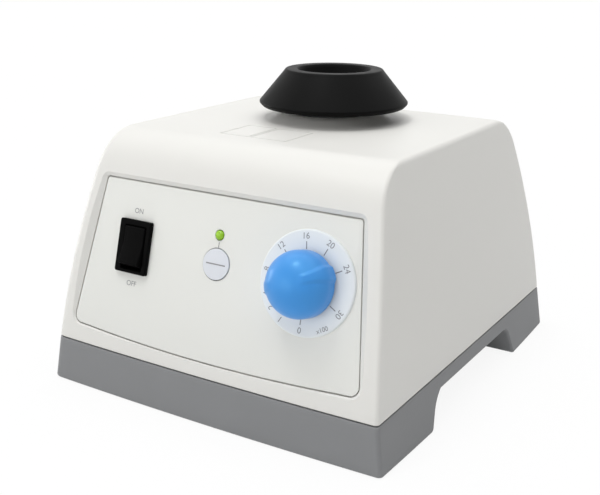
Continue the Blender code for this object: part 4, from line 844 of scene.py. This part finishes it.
def scribed_lines():
    """Cutters for the thin lines round each bare field on the top."""
    middle_y = (FIELD_FRONT_Y + FIELD_REAR_Y) / 2
    half_y = (FIELD_REAR_Y - FIELD_FRONT_Y) / 2
    lines = []
    for left, right in FIELD_SPANS:
        rings = []
        for grow, z in ((-0.5, -1), (0.5, -1), (0.5, 1), (-0.5, 1)):
            x = (right - left) / 2 + grow * SCRIBE_WIDTH
            y = half_y + grow * SCRIBE_WIDTH
            rings.append([(u, v, TOP_Z + z * SCRIBE_DEPTH) for u, v in rectangle(2 * x, 2 * y)])
        lines.append(shift(loft(rings, joined=True), (left + right) / 2, middle_y))
    return lines


def arch_outline():
    """The arch from the side, as (y, z), with the legs' lower edges rounded into the underside."""
    shoulder_y, shoulder_z = ARCH_SHOULDER
    low, dip = -ARCH_CORNER, SKIN_LIFT - ARCH_TOE_DIP
    return rounded([
        (ARCH_FRONT_FOOT - ARCH_TOE, low, 0), (ARCH_REAR_FOOT + ARCH_TOE, low, 0),
        (ARCH_REAR_FOOT + ARCH_TOE, dip, 0), (ARCH_REAR_FOOT, SKIN_LIFT, ARCH_TOE_RADIUS),
        (ARCH_REAR_Y, ARCH_TOP_Z, ARCH_CORNER), (ARCH_FRONT_Y, ARCH_TOP_Z, ARCH_BEND),
        (shoulder_y, shoulder_z, ARCH_SHOULDER_RADIUS), (ARCH_FRONT_FOOT, SKIN_LIFT, ARCH_TOE_RADIUS),
        (ARCH_FRONT_FOOT - ARCH_TOE, dip, 0)])


def widened(outline, grow):
    """An outline's points moved outwards, square to the line through their neighbours."""
    moved = []
    for i, point in enumerate(outline):
        along = Vector(outline[(i + 1) % len(outline)]) - Vector(outline[i - 1])
        moved.append(Vector(point) + grow * Vector((along.y, -along.x)).normalized())
    return moved


def side_x(y, z):
    """Half the plinth's width at a place on its side wall."""
    half_width, half_depth, bow = plinth_reach(z)
    reach = y / (half_depth - CORNER_RADIUS)
    return half_width + bow * (1 - reach * reach)


def arch_cutter():
    """The arch through the plinth, opening in a round at both mouths."""
    outline = arch_outline()
    half = []
    for grow, inset in round_off(ARCH_EDGE, FINE_STEPS)[:-1]:
        ring = widened(outline, grow)
        half.append([(side_x(y, z) - inset, y, z) for y, z in ring])
    half.append([(BASE_WIDTH, y, z) for y, z in ring])
    mirrored = [[(-x, y, z) for x, y, z in ring] for ring in reversed(half)]
    return loft(mirrored + half)


def plinth_skin():
    rings = [plinth_ring(SKIN_LIFT + rise, inset) for rise, inset in round_off(PLINTH_EDGE, FINE_STEPS)]
    top = SEAM_Z - SEAM_LINE
    low = SKIN_LIFT + PLINTH_EDGE
    rings += [plinth_ring(low + (top - EDGE_ROUND - low) * i / FINE_STEPS) for i in range(1, FINE_STEPS)]
    rings += [plinth_ring(top - drop, inset) for inset, drop in round_off(EDGE_ROUND, EDGE_STEPS)]
    return loft(rings + [plinth_ring(top, SEAM_DEPTH), plinth_ring(FLOOR_Z, SEAM_DEPTH)])


def leg_pockets():
    """Hollows in the front and rear legs, open below."""
    pockets = []
    for side, foot_y in ((-1, ARCH_FRONT_FOOT), (1, ARCH_REAR_FOOT)):
        outer = side * (BASE_DEPTH / 2 - LEG_POCKET_WALL)
        inner = foot_y + side * LEG_POCKET_WALL
        outline = rounded_rectangle(LEG_POCKET_WIDTH, abs(outer - inner), ARCH_CORNER)
        pockets.append(shift(prism(outline, -PLINTH_LIFT, LEG_POCKET_TOP_Z), y=(outer + inner) / 2))
    return merge(pockets)


def plinth_holes():
    """Holes for the carriage's bolts and the base screws, and the feet's recesses."""
    bolt_end = FLOOR_Z - BOLT_ROOT - GAP
    holes = [pegs(BOLT_PLACES, BOLT_RADIUS + GAP, bolt_end, FLOOR_Z + 2 * BOLT_BOSS_HEIGHT)]
    bore, head_bore = SCREW_RADIUS + GAP, SCREW_HEAD_RADIUS + GAP
    head_top, top = SCREW_HEAD_Z + SCREW_HEAD + GAP, SEAM_Z + SEAM_HEIGHT
    profile = [(0, -PLINTH_LIFT), (head_bore, -PLINTH_LIFT), (head_bore, head_top), (bore, head_top),
               (bore, top), (0, top)]
    for screw, foot in zip(SCREW_PLACES, FOOT_PLACES):
        holes.append(shift(turned(profile, SMALL_STEPS), *screw))
        holes.append(shift(cylinder(FOOT_RADIUS + GAP, -PLINTH_LIFT, PLINTH_LIFT + FOOT_RECESS), *foot))
    return merge(holes)


def plinth():
    root = FLOOR_Z - SEAM_HEIGHT
    supply_places = [(-SUPPLY_BOSS_X, SUPPLY_Y), (SUPPLY_BOSS_X, SUPPLY_Y)]
    bosses = [pegs(BOLT_PLACES, BOLT_BOSS_RADIUS, root, FLOOR_Z + BOLT_BOSS_HEIGHT),
              pegs(supply_places, SUPPLY_BOSS_RADIUS, root, FLOOR_Z + SUPPLY_LIFT - GAP)]
    body = carved(plinth_skin(), [
        ('DIFFERENCE', arch_cutter()),
        ('DIFFERENCE', leg_pockets()),
        ('UNION', merge(bosses)),
        ('DIFFERENCE', plinth_holes()),
    ])
    piece("plinth", body, "chassis", "plinth_plastic", ["base_plinth"])


def panel():
    rings = [[(x, s, -PANEL_THICKNESS) for x, s in panel_outline(-PANEL_TRIM)]]
    for inset, drop in round_off(PANEL_EDGE, PANEL_EDGE_STEPS):
        rings.append([(x, s, -drop) for x, s in panel_outline(-PANEL_TRIM - inset)])
    sheet = carved(placed(bent(loft(rings)), panel_base()), [('DIFFERENCE', panel_openings())])
    piece("panel", sheet, "chassis", "panel_paint", ["front_panel"])


# Controls
def switch_bezel():
    place = panel_frame(SWITCH_X, SWITCH_S)
    top = GAP + BEZEL_THICKNESS
    edge = BEZEL_CORNER / 2
    well_width, well_height = ROCKER_WIDTH + 2 * GAP, WELL_HIGH_S - WELL_LOW_S
    well_s = (WELL_HIGH_S + WELL_LOW_S) / 2
    rim_width, rim_x = BEZEL_WIDTH - BEZEL_TRIM, -BEZEL_TRIM / 2
    sizes = [(well_width, well_height, -WELL_DEPTH, edge / 2, 0, well_s)]
    for grow, drop in round_off(edge, EDGE_STEPS):
        sizes.append((well_width + 2 * grow, well_height + 2 * grow, top - drop, edge / 2 + grow, 0, well_s))
    for drop, inset in round_off(edge, EDGE_STEPS):
        sizes.append((rim_width - 2 * inset, BEZEL_HEIGHT - 2 * inset, top - drop, BEZEL_CORNER, rim_x, 0))
    sizes += [(rim_width, BEZEL_HEIGHT, SKIRT, BEZEL_CORNER, rim_x, 0),
              (SWITCH_BODY_WIDTH, SWITCH_BODY_HEIGHT, SKIRT, edge / 2, 0, 0),
              (SWITCH_BODY_WIDTH, SWITCH_BODY_HEIGHT, -SWITCH_BODY_DEPTH, edge / 2, 0, 0)]
    rings = [[(x + aside, y + rise, z) for x, y in rounded_rectangle(width, height, corner)]
             for width, height, z, corner, aside, rise in sizes]
    pin_hole = cylinder(ROCKER_PIN_RADIUS + GAP, -SWITCH_BODY_WIDTH, SWITCH_BODY_WIDTH)
    holder = carved(loft(rings), [('DIFFERENCE', placed(pin_hole, ROCKER_AXIS))])
    piece("switch_bezel", holder, "chassis", "switch_plastic", ["switch_frame"], place)


def rocker_cap():
    half = ROCKER_WIDTH / 2
    outline = rounded([[MM * value for value in corner] for corner in ROCKER_SIDE], FINE_STEPS)
    blade = soften(prism(outline, -half, half), ROCKER_EDGE, segments=3)
    pin_bore = cylinder(ROCKER_PIN_RADIUS + GAP, -ROCKER_WIDTH, ROCKER_WIDTH)
    blade = carved(placed(blade, SIDEWAYS), [('DIFFERENCE', placed(pin_bore, ROCKER_AXIS))])
    piece("rocker_cap", blade, "rocker", "switch_plastic", ["switch_rocker"], panel_frame(SWITCH_X, SWITCH_S))


def lamp_and_button():
    tail = -BOARD_DEPTH + GAP
    dome = [(LAMP_RADIUS * cos(t), LAMP_DOME * sin(t)) for t in quarter(LAMP_DOME_STEPS)[:-1]]
    lamp = turned([(0, tail), (LAMP_RADIUS, tail)] + dome + [(0, LAMP_DOME)], LAMP_STEPS)
    piece("lamp_dome", lamp, "chassis", "lamp_lens", ["lamp_lens"], panel_frame(LAMP_X, LAMP_S))

    rim = [(BUTTON_RADIUS - inset, BUTTON_PROUD - drop)
           for inset, drop in round_off(BUTTON_PROUD / 2, CAP_STEPS)]
    stem = [(0, -BUTTON_STEM), (BUTTON_STEM_RADIUS, -BUTTON_STEM), (BUTTON_STEM_RADIUS, -PANEL_THICKNESS)]
    cap = turned(stem + [(BUTTON_RADIUS, -PANEL_THICKNESS)] + rim + [(0, BUTTON_PROUD)])
    place = panel_frame(BUTTON_X, BUTTON_S)
    piece("button_cap", cap, "button", "button_plastic", ["mode_button"], place)

    low, high = BUTTON_PROUD + PRINT_LIFT, BUTTON_PROUD + PRINT_LIFT + PRINT_DEPTH
    dash = prism(rectangle(BUTTON_DASH, BUTTON_DASH_WIDTH), low, high)
    piece("button_print", dash, "button", "button_plastic", place=place, surface="print")


def speed_dial():
    place = panel_frame(DIAL_X, DIAL_S)
    scale_place = place @ at(*DIAL_SHIFT)
    bore = BUSHING_RADIUS + GAP
    rim = [(DIAL_RADIUS - inset, DIAL_TOP - drop) for inset, drop in round_off(DIAL_TOP, FINE_STEPS)[1:]]
    plate = turned([(bore, SKIRT), (DIAL_RADIUS, SKIRT)] + rim + [(bore, DIAL_TOP)], ring=True)
    piece("dial_disc", plate, "chassis", "dial_plastic", ["dial_plate"], scale_place)
    low, high = DIAL_TOP + PRINT_LIFT, DIAL_TOP + PRINT_LIFT + PRINT_DEPTH
    marks = []
    for number, angle in SCALE_MARKS:
        turn = Matrix.Rotation(-radians(angle), 4, 'Z')
        if number in TICKED:
            tick = prism(rectangle(TICK_WIDTH, TICK_END - TICK_START), low, high)
            marks.append(placed(shift(tick, y=(TICK_START + TICK_END) / 2), turn))
        figure = lettering(number, SCALE_HEIGHT, low, high)
        marks.append(placed(figure, turn @ at(0, SCALE_RADIUS)))
    unit = at(*UNIT_PLACE) @ Matrix.Rotation(UNIT_TURN, 4, 'Z')
    marks.append(placed(lettering(UNIT, UNIT_HEIGHT, low, high), unit))
    piece("dial_print", merge(marks), "chassis", "dial_plastic", place=scale_place, surface="print")
    knob(place @ Matrix.Rotation(-KNOB_POINTER, 4, 'Z'))


def lettering(words, height, low, high):
    """Figures or capitals of the given height, centred, as a thin closed mesh."""
    line = bpy.data.curves.new("lettering", 'FONT')
    line.body = words
    line.extrude = 0.5  # both faces are set to their heights below
    made = added("lettering", line)
    bpy.context.view_layer.update()
    flat = bpy.data.meshes.new_from_object(made.evaluated_get(bpy.context.evaluated_depsgraph_get()))
    discard(made)
    bm = bmesh.new()
    bm.from_mesh(flat)
    bpy.data.meshes.remove(flat)
    bmesh.ops.remove_doubles(bm, verts=bm.verts, dist=CLOSE)
    reach = [[f(vert.co[axis] for vert in bm.verts) for f in (min, max)] for axis in range(2)]
    scale = height / (reach[1][1] - reach[1][0])
    for vert in bm.verts:
        across = [(vert.co[axis] - sum(reach[axis]) / 2) * scale for axis in range(2)]
        vert.co = across + [high if vert.co.z > 0 else low]
    return bm


def panel_print():
    low, high = PRINT_LIFT, PRINT_LIFT + PRINT_DEPTH
    marks = [placed(lettering(words, SWITCH_WORD_HEIGHT, low, high), panel_frame(x, s))
             for words, x, s in SWITCH_WORDS]
    line = prism(rectangle(LINE_WIDTH, LAMP_LINE_HIGH - LAMP_LINE_LOW), low, high)
    marks.append(placed(line, panel_frame(BUTTON_X, (LAMP_LINE_LOW + LAMP_LINE_HIGH) / 2)))
    piece("panel_print", merge(marks), "chassis", "panel_paint", surface="print")


def smooth_step(u):
    u = min(max(u, 0.0), 1.0)
    return u * u * (3 - 2 * u)


def ridged(turn, radius, height):
    """A point of the plain dome, moved out where the pointer ridge or its tail stands."""
    x, y = radius * sin(turn), radius * cos(turn)
    up = smooth_step((height - KNOB_SKIRT) / (KNOB_HEIGHT - KNOB_SKIRT))
    half = RIDGE_HALF_LOW + (RIDGE_HALF_HIGH - RIDGE_HALF_LOW) * up
    middle, reach = (0.0, RIDGE_REACH) if y > 0 else (RIDGE_TAIL_SIDE, RIDGE_TAIL)
    across = smooth_step((half + RIDGE_FLANK - abs(x - middle)) / (2 * RIDGE_FLANK))
    along = smooth_step((abs(y) - RIDGE_NOSE) / RIDGE_NOSE_RUN)
    return x, y + copysign(reach * across * along, y), height


def knob_angles():
    """Angles from the pointer, close together where the ridge's flanks run."""
    angles = [*range(0, 360, KNOB_STEP), *range(*POINTER_SPAN), *range(*TAIL_SPAN)]
    return sorted({radians(angle % 360) for angle in angles})


def knob(place):
    base = KNOB_RADIUS - KNOB_DRAFT / 2
    rise = KNOB_HEIGHT - KNOB_SKIRT
    low = KNOB_LIFT + KNOB_EDGE
    outside = [(base - inset, KNOB_LIFT + lift) for lift, inset in round_off(KNOB_EDGE, CAP_STEPS)]
    outside += [(base, low + (KNOB_SKIRT - low) * i / CORNER_STEPS) for i in range(1, CORNER_STEPS)]
    outside += [(base * cos(t), KNOB_SKIRT + rise * sin(t)) for t in quarter(DOME_STEPS)[:-1]]
    recess = NUT_ACROSS / sqrt(3) + 2 * GAP
    ceiling = DIAL_TOP + GAP + NUT_THICKNESS + 2 * GAP
    bore = SHAFT_RADIUS + GAP
    inside = [(bore, SHAFT_TOP + GAP), (bore, ceiling), (recess, ceiling), (recess, KNOB_LIFT)]
    angles = knob_angles()
    rings = [[(radius * sin(t), radius * cos(t), height) for t in angles] for radius, height in inside]
    rings += [[ridged(t, radius, height) for t in angles] for radius, height in outside]
    cap = loft(rings)
    crown = [face for face in cap.faces
             if len(face.verts) > 4 and face.calc_center_median().z > SHAFT_TOP + MM]
    bmesh.ops.poke(cap, faces=crown)
    for vert in cap.verts:
        if vert.co.xy.length < CLOSE and vert.co.z > SHAFT_TOP + MM:
            vert.co.z = KNOB_HEIGHT
    piece("knob_cap", cap, "knob", "knob_plastic", ["speed_knob"], place, KNOB_ANGLE)


# Power inlet on the rear
def power_inlet():
    place = rear_frame(INLET_Z)
    top = GAP + INLET_FLANGE
    edge = EDGE_ROUND
    sizes = [(INLET_BODY_WIDTH, INLET_BODY_HEIGHT, -INLET_BODY_DEPTH, edge),
             (INLET_BODY_WIDTH, INLET_BODY_HEIGHT, SKIRT, edge),
             (INLET_FLANGE_WIDTH, INLET_FLANGE_HEIGHT, SKIRT, INLET_CORNER)]
    for inset, drop in round_off(edge, EDGE_STEPS):
        width, height = INLET_FLANGE_WIDTH - 2 * inset, INLET_FLANGE_HEIGHT - 2 * inset
        sizes.append((width, height, top - drop, INLET_CORNER))
    rings = [[(x, y, z) for x, y in rounded_rectangle(width, height, corner)]
             for width, height, z, corner in sizes]
    half_w, half_h, cut = SOCKET_WIDTH / 2, SOCKET_HEIGHT / 2, SOCKET_CHAMFER
    outline = [(-half_w, -half_h), (half_w, -half_h), (half_w, half_h - cut), (half_w - cut, half_h),
               (-half_w + cut, half_h), (-half_w, half_h - cut)]
    floor = top - SOCKET_DEPTH
    socket = prism(rounded([(x, y, SOCKET_CORNER) for x, y in outline], EDGE_STEPS), floor, 2 * top)
    slot = rectangle(PIN_WIDTH + 2 * GAP, PIN_HEIGHT + 2 * GAP)
    slots = [shift(prism(slot, -2 * INLET_BODY_DEPTH, floor + MM), x, y)
             for x, y in ((-PIN_PITCH, 0.0), (0.0, PIN_EARTH_RISE), (PIN_PITCH, 0.0))]
    body = carved(loft(rings), [('DIFFERENCE', socket), ('DIFFERENCE', merge(slots))])
    soften(body, EDGE_ROUND, segments=2, where=lambda middle: abs(middle.z - top) < CLOSE)
    piece("inlet_body", body, "chassis", "inlet_plastic", ["power_inlet"], place)


# Head
def head():
    flange_ceiling = FLANGE_Z + FLANGE_THICKNESS + GAP
    spigot_ceiling = flange_ceiling + SPIGOT_HEIGHT
    spigot, seat = SPIGOT_RADIUS + GAP, FLANGE_RADIUS + GAP
    profile = [  # radius, height, round
        (0, spigot_ceiling, 0), (spigot, spigot_ceiling, 0), (spigot, flange_ceiling, 0),
        (seat, flange_ceiling, 0), (seat, CUP_BOTTOM_Z, CUP_SEAT_ROUND),
        (CUP_RADIUS - CUP_EDGE, CUP_BOTTOM_Z, CUP_UNDER_ROUND), (CUP_BRIM_RADIUS, CUP_EDGE_Z, CUP_BRIM_ROUND),
        (CUP_TOP_RADIUS + CUP_LIP / 4, CUP_TOP_Z - CUP_LIP, CUP_SHOULDER_ROUND),
        (CUP_TOP_RADIUS - CUP_LIP / 2, CUP_TOP_Z, CUP_SOFT),
        (CUP_MOUTH_RADIUS + CUP_LIP / 2, CUP_TOP_Z, CUP_SOFT),
        (CUP_MOUTH_RADIUS, CUP_TOP_Z - CUP_LIP, CUP_SOFT),
        (CUP_FLOOR_RADIUS + CUP_SOFT, CUP_FLOOR_Z + CUP_LIP, CUP_SOFT),
        (CUP_FLOOR_RADIUS - CUP_SOFT, CUP_FLOOR_Z, CUP_SOFT), (0, CUP_FLOOR_Z, 0),
    ]
    cup = turned(rounded(profile, CAP_STEPS, closed=False), CUP_STEPS)
    piece("cup", cup, "head", "cup_rubber", ["rubber_cup"], at(0, CUP_Y), CUP_ANGLE)

    low, high = TOP_Z + SKIRT, TOP_Z + COLLAR_RIM
    run = COLLAR_RADIUS - HEAD_HOLE_RADIUS - EDGE_ROUND
    steps = [i / COLLAR_STEPS for i in range(COLLAR_STEPS + 1)]
    rise = [(COLLAR_RADIUS - run * u, low + (high - low) * smooth_step(u)) for u in steps]
    rim = [(HEAD_HOLE_RADIUS + inset, high - drop) for drop, inset in round_off(EDGE_ROUND, EDGE_STEPS)[1:]]
    collar = turned(rise + rim + [(HEAD_HOLE_RADIUS, low)], ring=True)
    piece("collar", collar, "chassis", "housing_paint", ["head_collar"], at(0, MOTOR_Y))


def coil(low, high):
    """A round wire wound in an even helix about the z axis."""
    count = SPRING_TURNS * SPRING_STEPS
    up = Vector((0, 0, 1))
    section = [2 * pi * i / WIRE_STEPS for i in range(WIRE_STEPS)]
    rings = []
    for i in range(count + 1):
        angle = 2 * pi * i / SPRING_STEPS
        out = Vector((cos(angle), sin(angle), 0))
        centre = SPRING_RADIUS * out + (low + (high - low) * i / count) * up
        rings.append([centre + SPRING_WIRE * (cos(t) * out + sin(t) * up) for t in section])
    return loft(rings)


def return_springs():
    """The carriage's springs, coiled from the bosses on the chassis up to the carriage."""
    low = FLOOR_Z + BOLT_BOSS_HEIGHT + GAP + SPRING_WIRE
    high = CARRIAGE_Z - GAP - SPRING_WIRE
    for (x, y), corner in zip(BOLT_PLACES, CORNER_NAMES):
        spring = shown("spring_" + corner, coil(low, high), LOOKS["spring_steel"], at(x, y))
        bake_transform(spring)
        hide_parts("return_spring_" + corner)


def dress_nodes():
    """Give every CAD node the finish of its slot."""
    for part in frame["record"]["subparts"]:
        node = frame["nodes"][part["node"]]
        node.data.materials.clear()
        node.data.materials.append(LOOKS[part["material_slot"]])


# Stage
def show_white(tree, lit, white, share, output):
    """Show a share of plain white, in place of what is lit, to rays from the camera or in gloss only."""
    path = node(tree, "LightPath")
    either = node(tree, "Math")
    either.operation = 'MAXIMUM'
    tree.links.new(path.outputs["Is Camera Ray"], either.inputs[0])
    tree.links.new(path.outputs["Is Glossy Ray"], either.inputs[1])
    part = node(tree, "Math", [(1, share)])
    part.operation = 'MULTIPLY'
    tree.links.new(either.outputs[0], part.inputs[0])
    mix = node(tree, "MixShader")
    tree.links.new(part.outputs[0], mix.inputs["Fac"])
    tree.links.new(lit.outputs[0], mix.inputs[1])
    tree.links.new(white.outputs[0], mix.inputs[2])
    tree.links.new(mix.outputs[0], tree.nodes[output].inputs["Surface"])


def backdrop():
    world = bpy.data.worlds.new("studio")
    bpy.context.scene.world = world
    world.use_nodes = True
    tree = world.node_tree
    sky = tree.nodes["Background"]
    sky.inputs["Color"].default_value = (1, 1, 1, 1)
    sky.inputs["Strength"].default_value = SKY_LIGHT
    white = node(tree, "Background", [("Color", (1, 1, 1, 1))])
    show_white(tree, sky, white, 1, "World Output")


def paper_floor():
    bm = bmesh.new()
    bmesh.ops.create_grid(bm, x_segments=1, y_segments=1, size=FLOOR_SIZE)
    floor = helper("floor", bm)
    paper, tree, shader = shader_of("paper")
    tree.nodes.remove(shader)
    lit = node(tree, "BsdfDiffuse", [("Color", (FLOOR_TONE, FLOOR_TONE, FLOOR_TONE, 1))])
    show_white(tree, lit, node(tree, "Emission"), FLOOR_GLOW, "Material Output")
    floor.data.materials.append(paper)


def lamps():
    for name, origin, strength, spread in LAMPS:
        lamp = bpy.data.lights.new(name, 'SUN')
        lamp.energy = strength
        lamp.angle = radians(spread)
        made = added(name, lamp)
        made.location = origin
        made.rotation_euler = Vector(origin).to_track_quat('Z', 'Y').to_euler()


def camera():
    back = Vector((sin(CAMERA_AZIMUTH) * cos(CAMERA_ELEVATION), -cos(CAMERA_AZIMUTH) * cos(CAMERA_ELEVATION),
                   sin(CAMERA_ELEVATION)))
    right = Vector((cos(CAMERA_AZIMUTH), sin(CAMERA_AZIMUTH), 0))
    up = back.cross(right)
    across = cos(CAMERA_ROLL) * right + sin(CAMERA_ROLL) * up
    upright = cos(CAMERA_ROLL) * up - sin(CAMERA_ROLL) * right
    data = bpy.data.cameras.new("camera")
    data.lens = CAMERA_LENS
    data.sensor_width = CAMERA_SENSOR
    data.sensor_fit = 'HORIZONTAL'
    made = added("camera", data)
    turn = Matrix((across, upright, back)).transposed().to_4x4()
    made.matrix_world = Matrix.Translation(CAMERA_PLACE) @ turn
    bpy.context.scene.camera = made


def build():
    make_finishes()
    dress_nodes()
    housing()
    plinth()
    panel()
    panel_print()
    switch_bezel()
    rocker_cap()
    lamp_and_button()
    speed_dial()
    power_inlet()
    head()
    return_springs()
    backdrop()
    paper_floor()
    lamps()
    camera()
    bpy.context.scene.view_settings.view_transform = 'Standard'


build()
